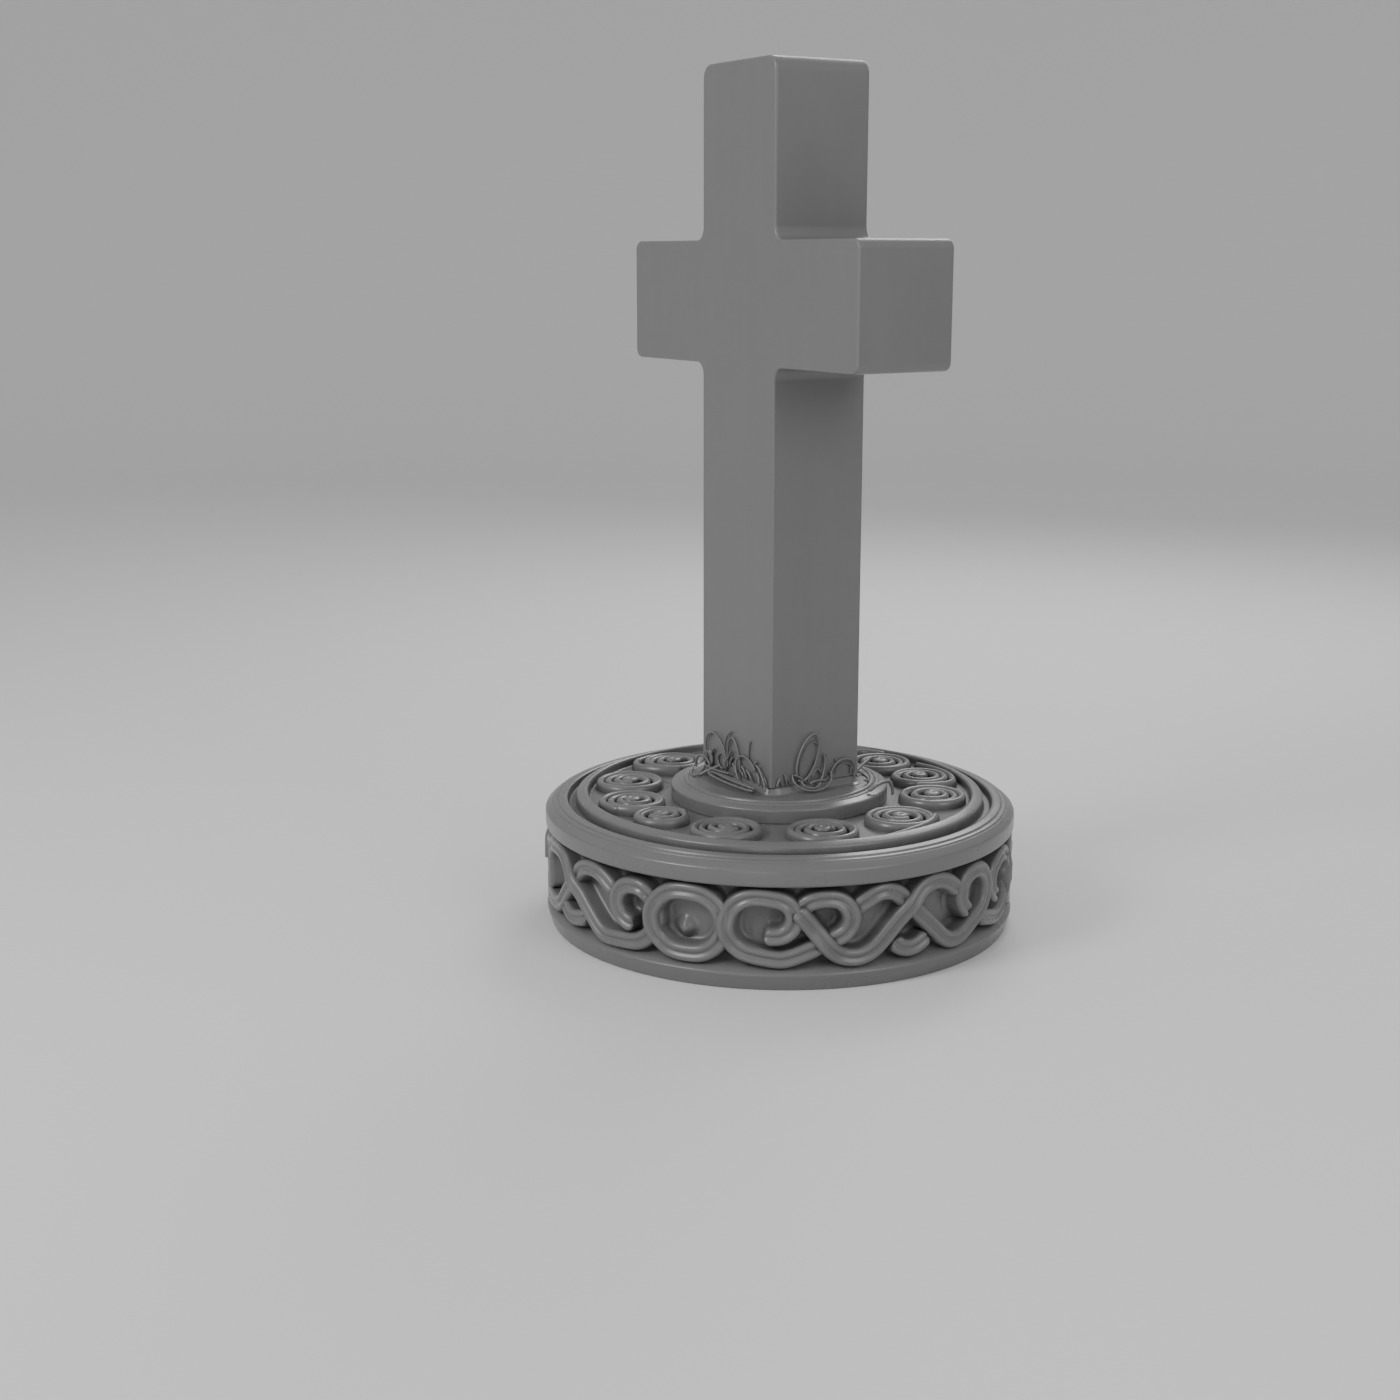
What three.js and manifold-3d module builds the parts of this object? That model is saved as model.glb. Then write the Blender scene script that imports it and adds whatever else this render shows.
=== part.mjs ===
// A churchyard memorial: a plain Latin cross on a round stepped socle and a drum plinth
// whose wall is carved with interlaced ribbons and whose top is carved with coiled discs.
// Millimetres, +Z up. The arms run along X, the broad face looks to -Y, the underside is at Z = 0.
import * as THREE from "three";
import { mergeVertices } from "three/addons/utils/BufferGeometryUtils.js";
import Module from "manifold-3d";

const wasm = await Module();
wasm.setup();

// Cross
const totalHeight = 1400;
const shaftWidth = 214;
const shaftDepth = 175;
const armSpan = 660;
const armHeight = 196;
const headAboveArms = 273;
const shaftTopRadius = 22;
const armEndRadius = 15;
const innerCornerRadius = 21;
const crossArris = 3;

// Plinth, from the ground up
const rimRadius = 397;
const groundInset = 8.5;
const baseEdgeHeight = 27;
const baseSlopeRise = 20;
const carvingDepth = 31;
const wallHeight = 119.5;
const rimHeight = 25.5;
const rimSlopeWidth = 14;
const rimSlopeRise = 17;
const rimLedgeWidth = 22.5;
const grooveWidth = 16.5;
const grooveDepth = 12;
const raisedRingWidth = 20.5;
const raisedRingRise = 13.5;
const raisedRingFall = 4.5;
const recessDrop = 3;
const mouldingStep = 3;

// Socle
const socleRadius = 183.4;
const socleHeight = 22.2;
const socleSlopeRise = 12;
const beadInset = 26.4;
const beadWidth = 9;
const padMargin = 10.5;
const padHeight = 12.8;
const padCornerRadius = 20;
const padSlope = 7;
const jointGap = 0.3;

// Ribbons on the drum wall
const frontDirection = -33.5;
const ribbonHalfWidth = 14.3;
const ribbonFlank = 2;
const reedHeight = 29;
const reedGroove = 5;
const baseLap = 11.6;
const rimClearance = 3.2;
const weaveLift = 5;
const weaveReach = 34;
const bossRadius = 17;
const bossHeight = 12;

// Coiled discs on the top
const discShift = 6.5;
const coilPitch = 19.2;
const coilHalfWidth = 8.5;
const coilFoot = 0.8;
const coilCrest = 5.1;
const coilHeight = 13.5;

// Fineness of the facets
const drumFacets = 48;
const socleFacets = 36;
const cornerFacets = 2;
const coilFacets = 8;
const bossFacets = 10;
const arcStep = THREE.MathUtils.degToRad(44);
const straightStep = 48;
const overlap = 3;

// Levels and radii that follow from the sizes above
const wallFoot = baseEdgeHeight + baseSlopeRise;
const rimUnderside = wallFoot + wallHeight;
const rimEdge = rimUnderside + rimHeight;
const rimTop = rimEdge + rimSlopeRise;
const recessLevel = rimTop - recessDrop;
const socleFoot = recessLevel + jointGap;
const socleEdge = socleFoot + socleHeight;
const socleTop = socleEdge + socleSlopeRise;
const padTop = socleTop + padHeight;
const wallRadius = rimRadius - carvingDepth;
const slopeInnerRadius = rimRadius - rimSlopeWidth;
const ledgeInnerRadius = slopeInnerRadius - rimLedgeWidth;
const ringOuterRadius = ledgeInnerRadius - grooveWidth;
const ringInnerRadius = ringOuterRadius - raisedRingWidth;
const recessWidth = ringInnerRadius - socleRadius;
const discCircleRadius = (ringInnerRadius + socleRadius) / 2 + discShift;
const sheetRadius = wallRadius + reedHeight / 2;
const halfRound = Math.PI * sheetRadius;
const lowRail = wallFoot + ribbonHalfWidth - baseLap;
const highRail = rimUnderside - ribbonHalfWidth - rimClearance;
const railRise = highRail - lowRail;

const stone = { color: 0x7c7c7c, roughness: 0.42, metalness: 0 };

// A closed geometry as a solid that can be joined and cut.
function solidOf(geometry) {
  const bare = new THREE.BufferGeometry();
  bare.setAttribute("position", geometry.getAttribute("position").clone());
  if (geometry.index) bare.setIndex(geometry.index.clone());
  const merged = mergeVertices(bare, 1e-4);
  return new wasm.Manifold(new wasm.Mesh({
    numProp: 3,
    vertProperties: new Float32Array(merged.getAttribute("position").array),
    triVerts: new Uint32Array(merged.index.array),
  }));
}

// A joined solid as a geometry with flat facets.
function geometryOf(solid) {
  const mesh = solid.getMesh();
  const geometry = new THREE.BufferGeometry();
  geometry.setAttribute("position", new THREE.BufferAttribute(new Float32Array(mesh.vertProperties), 3));
  geometry.setIndex(new THREE.BufferAttribute(new Uint32Array(mesh.triVerts), 1));
  geometry.computeVertexNormals();
  return geometry;
}

// A solid of revolution from [radius, height] pairs that start and end on the axis.
function turned(profile, facets) {
  const points = profile.map(([radius, height]) => new THREE.Vector2(radius, height));
  const geometry = new THREE.LatheGeometry(points, facets);
  geometry.rotateX(Math.PI / 2);
  return geometry;
}

// The line of a strand wound round pegs. A peg is [x, y, radius, turn]: turn is 1 where the strand
// passes it anticlockwise and -1 clockwise. The first and last pegs are the strand's two ends.
function windRoundPegs(pegs) {
  const rho = pegs.map(([, , radius, turn]) => radius * turn);
  const headings = pegs.slice(1).map(([x, y], i) => {
    const dx = x - pegs[i][0];
    const dy = y - pegs[i][1];
    const sine = THREE.MathUtils.clamp((rho[i + 1] - rho[i]) / Math.hypot(dx, dy), -1, 1);
    return Math.atan2(dy, dx) - Math.asin(sine);
  });
  const line = [];
  const add = (x, y, heading) => {
    const last = line.at(-1);
    const gap = last ? Math.hypot(x - last.x, y - last.y) : Infinity;
    if (gap < 0.5) return;
    const pieces = last ? Math.max(1, Math.round(gap / straightStep)) : 1;
    for (let k = 1; k < pieces; k += 1) {
      const share = k / pieces;
      line.push({ x: last.x + (x - last.x) * share, y: last.y + (y - last.y) * share, heading });
    }
    line.push({ x, y, heading });
  };
  add(pegs[0][0], pegs[0][1], headings[0]);
  for (let i = 1; i < pegs.length - 1; i += 1) {
    const [x, y] = pegs[i];
    const sense = Math.sign(rho[i]);
    const full = 2 * Math.PI;
    const turn = sense * ((((headings[i] - headings[i - 1]) * sense) % full + full) % full);
    const steps = Math.max(1, Math.round(Math.abs(turn) / arcStep));
    for (let k = 0; k <= steps; k += 1) {
      const heading = headings[i - 1] + (turn * k) / steps;
      add(x + Math.sin(heading) * rho[i], y - Math.cos(heading) * rho[i], heading);
    }
  }
  const end = pegs.at(-1);
  if (Math.hypot(end[0] - line.at(-1).x, end[1] - line.at(-1).y) < 0.5) line.pop();
  add(end[0], end[1], headings.at(-1));
  let run = 0;
  return line.map((point, i) => {
    if (i > 0) run += Math.hypot(point.x - line[i - 1].x, point.y - line[i - 1].y);
    return { ...point, run };
  });
}

// A section drawn as across and height, carried along a line: place turns a point of the flat
// sheet and its height over the sheet into space.
function carriedAlong(section, line, rise, place) {
  const geometry = new THREE.ExtrudeGeometry(section, {
    depth: line.length - 1,
    steps: line.length - 1,
    bevelEnabled: false,
  });
  const position = geometry.getAttribute("position");
  for (let i = 0; i < position.count; i += 1) {
    const point = line[Math.round(position.getZ(i))];
    const across = position.getX(i);
    const height = position.getY(i) + rise(point.run);
    const x = point.x - Math.sin(point.heading) * across;
    const y = point.y + Math.cos(point.heading) * across;
    position.setXYZ(i, ...place(x, y, height));
  }
  return geometry;
}

function outline(points) {
  return new THREE.Shape(points.map(([x, y]) => new THREE.Vector2(x, y)));
}

// A closed outline from [x, y, radius] corners, each a right angle rounded by its radius.
function roundedOutline(corners) {
  const shape = new THREE.Shape();
  corners.forEach(([x, y, radius], i) => {
    const [px, py] = corners.at(i - 1);
    const [nx, ny] = corners[(i + 1) % corners.length];
    const corner = new THREE.Vector2(x, y);
    const back = new THREE.Vector2(px - x, py - y).setLength(radius).add(corner);
    const ahead = new THREE.Vector2(nx - x, ny - y).setLength(radius).add(corner);
    if (radius === 0) {
      if (i === 0) shape.moveTo(x, y);
      else shape.lineTo(x, y);
      return;
    }
    if (i === 0) shape.moveTo(back.x, back.y);
    else shape.lineTo(back.x, back.y);
    const centre = back.clone().add(ahead).sub(corner);
    const from = Math.atan2(back.y - centre.y, back.x - centre.x);
    const to = Math.atan2(ahead.y - centre.y, ahead.x - centre.x);
    const turn = (px - x) * (ny - y) - (py - y) * (nx - x);
    shape.absarc(centre.x, centre.y, radius, from, to, turn > 0);
  });
  shape.closePath();
  return shape;
}

// Cross: one stone, with soft corners in its outline and a fine arris front and back.
function crossGeometry() {
  const foot = padTop + jointGap;
  const armTop = totalHeight - headAboveArms;
  const armBottom = armTop - armHeight;
  const right = [
    [shaftWidth / 2, foot, 0],
    [shaftWidth / 2, armBottom, innerCornerRadius],
    [armSpan / 2, armBottom, armEndRadius],
    [armSpan / 2, armTop, armEndRadius],
    [shaftWidth / 2, armTop, innerCornerRadius],
    [shaftWidth / 2, totalHeight, shaftTopRadius],
  ];
  const left = right.map(([x, y, radius]) => [-x, y, radius]).reverse();
  const geometry = new THREE.ExtrudeGeometry(roundedOutline([...right, ...left]), {
    depth: shaftDepth - 2 * crossArris,
    curveSegments: cornerFacets,
    bevelEnabled: true,
    bevelSegments: 1,
    bevelSize: crossArris,
    bevelOffset: -crossArris,
    bevelThickness: crossArris,
  });
  geometry.translate(0, 0, -(shaftDepth / 2 - crossArris));
  geometry.rotateX(Math.PI / 2);
  return geometry;
}

// Socle: a round stepped block with a bead near its middle and a low pad under the shaft.
function socleGeometry() {
  const step = mouldingStep;
  const beadRadius = socleRadius - beadInset;
  const profile = [
    [0, socleFoot],
    [socleRadius, socleFoot],
    [socleRadius, socleEdge - 2 * step],
    [socleRadius - step, socleEdge],
    [beadRadius + beadWidth, socleEdge + step],
    [beadRadius + beadWidth / 2, socleTop - step],
    [beadRadius, socleTop - step],
    [beadRadius - beadWidth / 2, socleTop - step / 2],
    [beadRadius - beadWidth, socleTop],
    [0, socleTop],
  ];
  const halfX = shaftWidth / 2 + padMargin;
  const halfY = shaftDepth / 2 + padMargin;
  const corners = [[-halfX, -halfY], [halfX, -halfY], [halfX, halfY], [-halfX, halfY]];
  const padFoot = socleTop - overlap;
  const pad = new THREE.ExtrudeGeometry(roundedOutline(corners.map((c) => [...c, padCornerRadius])), {
    depth: padTop - padFoot - padSlope / 2,
    curveSegments: cornerFacets,
    bevelEnabled: true,
    bevelSegments: 1,
    bevelSize: padSlope,
    bevelOffset: -padSlope,
    bevelThickness: padSlope / 2,
  });
  pad.translate(0, 0, padFoot);
  return geometryOf(solidOf(turned(profile, socleFacets)).add(solidOf(pad)));
}

// Drum of the plinth, from the ground up the wall, over the rim and down to the recessed top.
function drumProfile() {
  const step = mouldingStep;
  return [
    [0, 0],
    [rimRadius - groundInset, 0],
    [rimRadius, baseEdgeHeight - step],
    [rimRadius - step / 2, baseEdgeHeight + step],
    [wallRadius, wallFoot],
    [wallRadius, rimUnderside],
    [rimRadius, rimUnderside],
    [rimRadius, rimEdge - step],
    [rimRadius - step, rimEdge],
    [slopeInnerRadius, rimTop - 2 * step],
    [slopeInnerRadius - step, rimTop - step],
    [ledgeInnerRadius, rimTop],
    [ledgeInnerRadius - step, rimTop - grooveDepth],
    [ringOuterRadius + step, rimTop - grooveDepth],
    [ringOuterRadius, recessLevel + raisedRingRise - raisedRingFall],
    [ringInnerRadius, recessLevel + raisedRingRise],
    [ringInnerRadius, recessLevel],
    [0, recessLevel],
  ];
}

// The wall unrolled: x runs round the drum, y is the height.
function onWall(x, y, height) {
  const angle = THREE.MathUtils.degToRad(frontDirection) + x / sheetRadius;
  const radius = wallRadius + height;
  return [radius * Math.cos(angle), radius * Math.sin(angle), y];
}

// Angles round the drum at which the two rings of the half band lie.
const ringCentres = [-21.3, 84.2];

// Half of the band. A peg is [angle round the drum, height, radius, turn], its height and radius as
// shares of the rise from the low rail to the high one. A strand earlier in the list passes over a
// later one, but a strand always ends underneath.
const strands = {
  climber: [
    [4.4, 0.8, 0, 0],
    [17.9, 0.507, 0.525, 1],
    [39.4, 0.549, 0.489, -1],
    [47.1, 0.778, 0, 0],
  ],
  middleScroll: [
    [-3.0, 0.369, 0, 0],
    [-0.5, 0.659, 0.303, 1],
    [-4.9, 0.529, 0.473, 1],
    [0.6, 0.427, 0.435, 1],
    [12.1, 0.633, 0.335, 1],
    [9.6, 0.642, 0.3225, 1],
    [5.3, 0.62, 0, 0],
  ],
  ring: ringPegs(ringCentres[0]),
  farRing: ringPegs(ringCentres[1]),
  leftScroll: [
    [-77.0, 0.148, 0, 0],
    [-72.5, 0.641, 0.359, -1],
    [-66.8, 0.661, 0.352, -1],
    [-43.9, 0.31, 0.348, 1],
    [-36.6, 0.489, 0.486, 1],
    [-36.0, 0.613, 0.324, 1],
    [-35.6, 0.29, 0, 0],
  ],
  leftClimber: [
    [-88.0, 0.697, 0, 0],
    [-79.0, 0.373, 0.38, 1],
    [-69.9, 0.388, 0.363, 1],
    [-49.6, 0.41, 0.6, -1],
    [-41.5, 0.772, 0, 0],
  ],
  rightScroll: [
    [17.4, 0.735, 0, 0],
    [25.1, 0.616, 0.4055, -1],
    [46.1, 0.384, 0.4225, 1],
    [53.9, 0.617, 0.389, 1],
    [52.7, 0.658, 0.311, 1],
    [51.3, 0.341, 0, 0],
  ],
  endScroll: [
    [56.5, 0.148, 0, 0],
    [65.8, 0.61, 0.6155, 1],
    [69.7, 0.5745, 0.418, 1],
    [66.6, 0.63, 0.287, 1],
    [66.3, 0.345, 0, 0],
  ],
  leftTie: [
    [-63.9, 0.148, 0, 0],
    [-58.7, 0.366, 0.3535, 1],
    [-52.5, 0.12, 0, 0],
  ],
  rightTie: [
    [27.5, 0.176, 0, 0],
    [32.0, 0.366, 0.352, 1],
    [37.0, 0.162, 0, 0],
  ],
};

// A closed oval that meets itself on its right side.
function ringPegs(centre) {
  const spread = 1.5;
  const radius = 0.5;
  const reach = spread + THREE.MathUtils.radToDeg((radius * railRise) / sheetRadius);
  return [
    [centre + reach, 0.5, 0, 0],
    [centre + spread, 0.5, radius, 1],
    [centre - spread, 0.5, radius, 1],
    [centre + spread, 0.5, radius, 1],
    [centre + reach, 0.5, 0, 0],
  ];
}

function strandLine(pegs) {
  return windRoundPegs(pegs.map(([angle, height, radius, turn]) => [
    THREE.MathUtils.degToRad(angle) * sheetRadius,
    lowRail + height * railRise,
    radius * railRise,
    turn,
  ]));
}

// Where line a crosses line b, moved sideways by shift: the run along each line at every crossing.
function crossings(a, b, shift) {
  const found = [];
  for (let i = 1; i < a.length; i += 1) {
    for (let j = a === b && shift === 0 ? i + 2 : 1; j < b.length; j += 1) {
      const [p, q, r, s] = [a[i - 1], a[i], b[j - 1], b[j]];
      const [ux, uy, vx, vy] = [q.x - p.x, q.y - p.y, s.x - r.x, s.y - r.y];
      const cross = ux * vy - uy * vx;
      if (Math.abs(cross) < 1e-9) continue;
      const [wx, wy] = [r.x + shift - p.x, r.y - p.y];
      const t = (wx * vy - wy * vx) / cross;
      const u = (wx * uy - wy * ux) / cross;
      if (t < 0 || t > 1 || u < 0 || u > 1) continue;
      found.push([p.run + t * (q.run - p.run), r.run + u * (s.run - r.run)]);
    }
  }
  return found;
}

// Over and under: lifts a strand where it passes over another and sinks it where it goes beneath.
function weave(lines) {
  const levels = lines.map(() => []);
  lines.forEach((a, i) => {
    lines.slice(i).forEach((b, offset) => {
      const j = i + offset;
      for (const shift of j === i ? [0] : [-halfRound, 0, halfRound]) {
        for (const [runA, runB] of crossings(a, b, shift)) {
          const endA = Math.min(runA, a.at(-1).run - runA) < weaveReach;
          const endB = Math.min(runB, b.at(-1).run - runB) < weaveReach;
          const aOver = endA === endB ? true : endB;
          levels[i].push([runA, aOver ? weaveLift : -weaveLift]);
          levels[j].push([runB, aOver ? -weaveLift : weaveLift]);
        }
      }
    });
  });
  return levels.map((marks) => (run) => {
    const sum = marks.reduce((total, [at, lift]) => {
      const near = Math.abs(run - at) / weaveReach;
      return near < 1 ? total + lift * Math.cos((near * Math.PI) / 2) ** 2 : total;
    }, 0);
    return THREE.MathUtils.clamp(sum, -weaveLift, weaveLift);
  });
}

// A ribbon of two reeds side by side with a groove between them.
function ribbonSection() {
  const foot = ribbonHalfWidth + ribbonFlank;
  return outline([
    [-foot, -weaveLift - overlap],
    [foot, -weaveLift - overlap],
    [ribbonHalfWidth / 2, reedHeight],
    [0, reedHeight - reedGroove],
    [-ribbonHalfWidth / 2, reedHeight],
  ]);
}

// A strand that meets itself is carved as stretches that turn by half a circle at most, so that no
// stretch does.
function inStretches(line) {
  const stretches = [[line[0]]];
  let [heading, least, most] = [0, 0, 0];
  for (let i = 1; i < line.length; i += 1) {
    const change = line[i].heading - line[i - 1].heading;
    const turn = Math.atan2(Math.sin(change), Math.cos(change));
    heading += turn;
    least = Math.min(least, heading);
    most = Math.max(most, heading);
    if (most - least > Math.PI) {
      stretches.push([line[i - 1]]);
      heading = turn;
      least = Math.min(0, turn);
      most = Math.max(0, turn);
    }
    stretches.at(-1).push(line[i]);
  }
  return stretches;
}

function ribbonSolids() {
  const lines = Object.values(strands).map(strandLine);
  const rises = weave(lines);
  const section = ribbonSection();
  const stretches = lines.flatMap((line, i) => inStretches(line).map((stretch) => [stretch, rises[i]]));
  return [0, halfRound].flatMap((turn) => stretches.map(([stretch, rise]) => solidOf(
    carriedAlong(section, stretch, rise, (x, y, height) => onWall(x + turn, y, height)),
  )));
}

// The soft boss on the wall inside the ring, a little left of its middle and below it.
function bossSolids() {
  const sideways = -1.2;
  const heightShare = 0.36;
  const height = lowRail + railRise * heightShare;
  return [0, 180].map((turn) => {
    const boss = new THREE.SphereGeometry(bossRadius, bossFacets, bossFacets / 2);
    boss.scale(bossHeight / bossRadius, 1, 1);
    boss.translate(wallRadius, 0, height);
    boss.rotateZ(THREE.MathUtils.degToRad(frontDirection + ringCentres[0] + sideways + turn));
    return solidOf(boss);
  });
}

// Coiled discs: [angle round the top, radius as a share of the recess, direction of the coil, angle
// at which its outer end lies].
const discs = [
  [-133.3, 0.385, 1, 200],
  [-97.7, 0.385, -1, 60],
  [-69.1, 0.385, 1, -60],
  [-46.5, 0.307, 1, 120],
  [-18.1, 0.385, -1, 30],
  [16.9, 0.385, 1, 150],
  [49.3, 0.4, -1, -60],
  [84.0, 0.385, -1, 90],
  [111.0, 0.343, 1, -90],
  [136.0, 0.385, -1, 60],
  [163.5, 0.371, 1, 0],
  [-167.0, 0.371, -1, 180],
];

function discCentre(angle) {
  const turn = THREE.MathUtils.degToRad(frontDirection + angle);
  return [discCircleRadius * Math.cos(turn), discCircleRadius * Math.sin(turn)];
}

// A coil that winds out from its centre, one pitch a turn.
function coilLine([angle, share, hand, outerEnd]) {
  const [cx, cy] = discCentre(angle);
  const outer = share * recessWidth - coilHalfWidth;
  const inner = coilHalfWidth + coilFoot;
  const turns = (outer - inner) / coilPitch;
  const last = THREE.MathUtils.degToRad(frontDirection + angle + outerEnd);
  const steps = Math.round(turns * coilFacets);
  const line = [];
  let run = 0;
  for (let k = 0; k <= steps; k += 1) {
    const left = turns * (1 - k / steps);
    const reach = outer - left * coilPitch;
    const a = last - hand * left * 2 * Math.PI;
    const point = { x: cx + reach * Math.cos(a), y: cy + reach * Math.sin(a) };
    const before = line.at(-1);
    if (before) run += Math.hypot(point.x - before.x, point.y - before.y);
    line.push({ ...point, heading: a + (hand * Math.PI) / 2, run });
  }
  return line;
}

function coilSection() {
  const foot = coilHalfWidth + coilFoot;
  return outline([
    [-foot, -overlap],
    [foot, -overlap],
    [coilCrest, coilHeight],
    [-coilCrest, coilHeight],
  ]);
}

function coilSolids() {
  const section = coilSection();
  return discs.map((disc) => solidOf(
    carriedAlong(section, coilLine(disc), () => 0, (x, y, height) => [x, y, recessLevel + height]),
  ));
}

function plinthGeometry() {
  const drum = solidOf(turned(drumProfile(), drumFacets));
  const carving = [...ribbonSolids(), ...bossSolids(), ...coilSolids()];
  return geometryOf(carving.reduce((joined, piece) => joined.add(piece), drum));
}

function piece(name, geometry, finish) {
  const mesh = new THREE.Mesh(geometry, new THREE.MeshStandardMaterial(finish));
  mesh.name = name;
  return mesh;
}

const group = new THREE.Group();
group.add(piece("cross", crossGeometry(), stone));
group.add(piece("socle", socleGeometry(), stone));
group.add(piece("plinth", plinthGeometry(), stone));

export default group;
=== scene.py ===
"""Looks of a churchyard memorial: a plain Latin cross on a round socle and a carved drum plinth.

The script makes the fine forms of the cross, the socle and the plinth, the looped stems round the
foot of the shaft, their stone finishes, and a plain pale studio. Forms are worked out in
millimetres and become metres when they turn into Blender meshes. +Z is up, the arms of the cross
run along X, and its broad face looks to -Y.
"""

import logging
import math
from collections.abc import Sequence
from dataclasses import dataclass, field
from enum import Enum

import bmesh
import bpy
import numpy as np
from mathutils import Matrix, Vector


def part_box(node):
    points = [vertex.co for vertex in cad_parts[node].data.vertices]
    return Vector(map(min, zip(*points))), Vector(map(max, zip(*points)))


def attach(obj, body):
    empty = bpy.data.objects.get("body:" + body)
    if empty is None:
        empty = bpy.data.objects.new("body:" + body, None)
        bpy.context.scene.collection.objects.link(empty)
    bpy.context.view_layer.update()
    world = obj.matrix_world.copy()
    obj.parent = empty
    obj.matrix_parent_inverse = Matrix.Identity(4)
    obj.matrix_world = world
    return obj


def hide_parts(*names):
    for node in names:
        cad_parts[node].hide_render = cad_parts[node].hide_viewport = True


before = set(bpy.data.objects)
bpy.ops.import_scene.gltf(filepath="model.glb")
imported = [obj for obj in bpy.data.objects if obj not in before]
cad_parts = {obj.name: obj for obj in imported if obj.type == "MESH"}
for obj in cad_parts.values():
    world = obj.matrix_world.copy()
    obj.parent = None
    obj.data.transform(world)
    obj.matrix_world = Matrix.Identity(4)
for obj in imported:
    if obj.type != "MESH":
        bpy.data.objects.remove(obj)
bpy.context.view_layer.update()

MM = 0.001
LOG = logging.getLogger("memorial")


class Turn(Enum):
    """The way in which a strand passes a peg, seen from outside."""

    END = 0
    ANTICLOCKWISE = 1
    CLOCKWISE = -1


@dataclass(frozen=True)
class Peg:
    """A round peg that a strand is wound about.

    x and y are its centre, radius is the distance from there to the middle of the strand.
    """

    x: float
    y: float
    radius: float
    turn: Turn


@dataclass
class Line:
    """The middle of a strand: points on a flat sheet, the heading at each, and the run so far."""

    x: np.ndarray
    y: np.ndarray
    heading: np.ndarray

    @property
    def run(self) -> np.ndarray:
        """Length along the line up to each point."""
        steps = np.hypot(np.diff(self.x), np.diff(self.y))
        return np.concatenate([[0.0], np.cumsum(steps)])

    @property
    def closed(self) -> bool:
        """Whether the line ends where it starts."""
        return math.hypot(self.x[0] - self.x[-1], self.y[0] - self.y[-1]) < 1

    def eased(self, spread: float, step: float) -> "Line":
        """Softens the change from straight runs to turns and leaves the two ends where they are.

        Args:
            spread: The length over which the line is evened out.
            step: The distance between points of the new line.

        Returns:
            The eased line.
        """
        run = self.run
        even = np.linspace(0, run[-1], round(run[-1] / step) + 1)
        points = np.stack([np.interp(even, run, self.x), np.interp(even, run, self.y)], axis=1)
        reach = math.ceil(3 * spread / step)
        weights = np.exp(-0.5 * (np.arange(-reach, reach + 1) * step / spread) ** 2)
        weights /= weights.sum()
        before, after = points[1 : reach + 1][::-1], points[-reach - 1 : -1][::-1]
        if self.closed:
            before, after = points[-reach - 1 : -1], points[1 : reach + 1]
        else:
            before, after = 2 * points[0] - before, 2 * points[-1] - after
        longer = np.vstack([before, points, after])
        padded = np.vstack([longer[:1], longer, longer[-1:]])
        smooth = np.stack([np.convolve(padded[:, k], weights, "valid") for k in (0, 1)], axis=1)
        slope = (smooth[2:] - smooth[:-2]) / 2
        return Line(smooth[1:-1, 0], smooth[1:-1, 1], np.unwrap(np.arctan2(slope[:, 1], slope[:, 0])))

    def tipped(self, reach: float) -> "Line":
        """The same line with more points within a reach of its two ends.

        Args:
            reach: How far from each end the points are closer together, in millimetres.

        Returns:
            The new line.
        """
        run = self.run
        near = reach * (1 - np.cos(np.linspace(0, math.pi / 2, 6)[1:]))
        middle = run[(run > reach) & (run < run[-1] - reach)]
        places = np.unique(np.concatenate([run[:1], near, middle, run[-1] - near, run[-1:]]))
        return Line(*(np.interp(places, run, values) for values in (self.x, self.y, self.heading)))


def through(points: np.ndarray, step: float) -> np.ndarray:
    """Runs a smooth curve through points.

    Args:
        points: The points in order, as rows.
        step: The rough distance between points of the curve.

    Returns:
        The curve's points as rows.
    """
    ends = [2 * points[0] - points[1]], [2 * points[-1] - points[-2]]
    known = np.vstack([ends[0], points, ends[1]])
    rows = []
    for i in range(1, len(known) - 2):
        a, b, c, d = known[i - 1 : i + 3]
        pieces = max(2, round(np.linalg.norm(c - b) / step))
        for t in np.arange(pieces) / pieces:
            bend = (2 * a - 5 * b + 4 * c - d) * t**2 + (3 * b - a - 3 * c + d) * t**3
            rows.append(b + 0.5 * ((c - a) * t + bend))
    return np.array(rows + [points[-1]])


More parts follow.
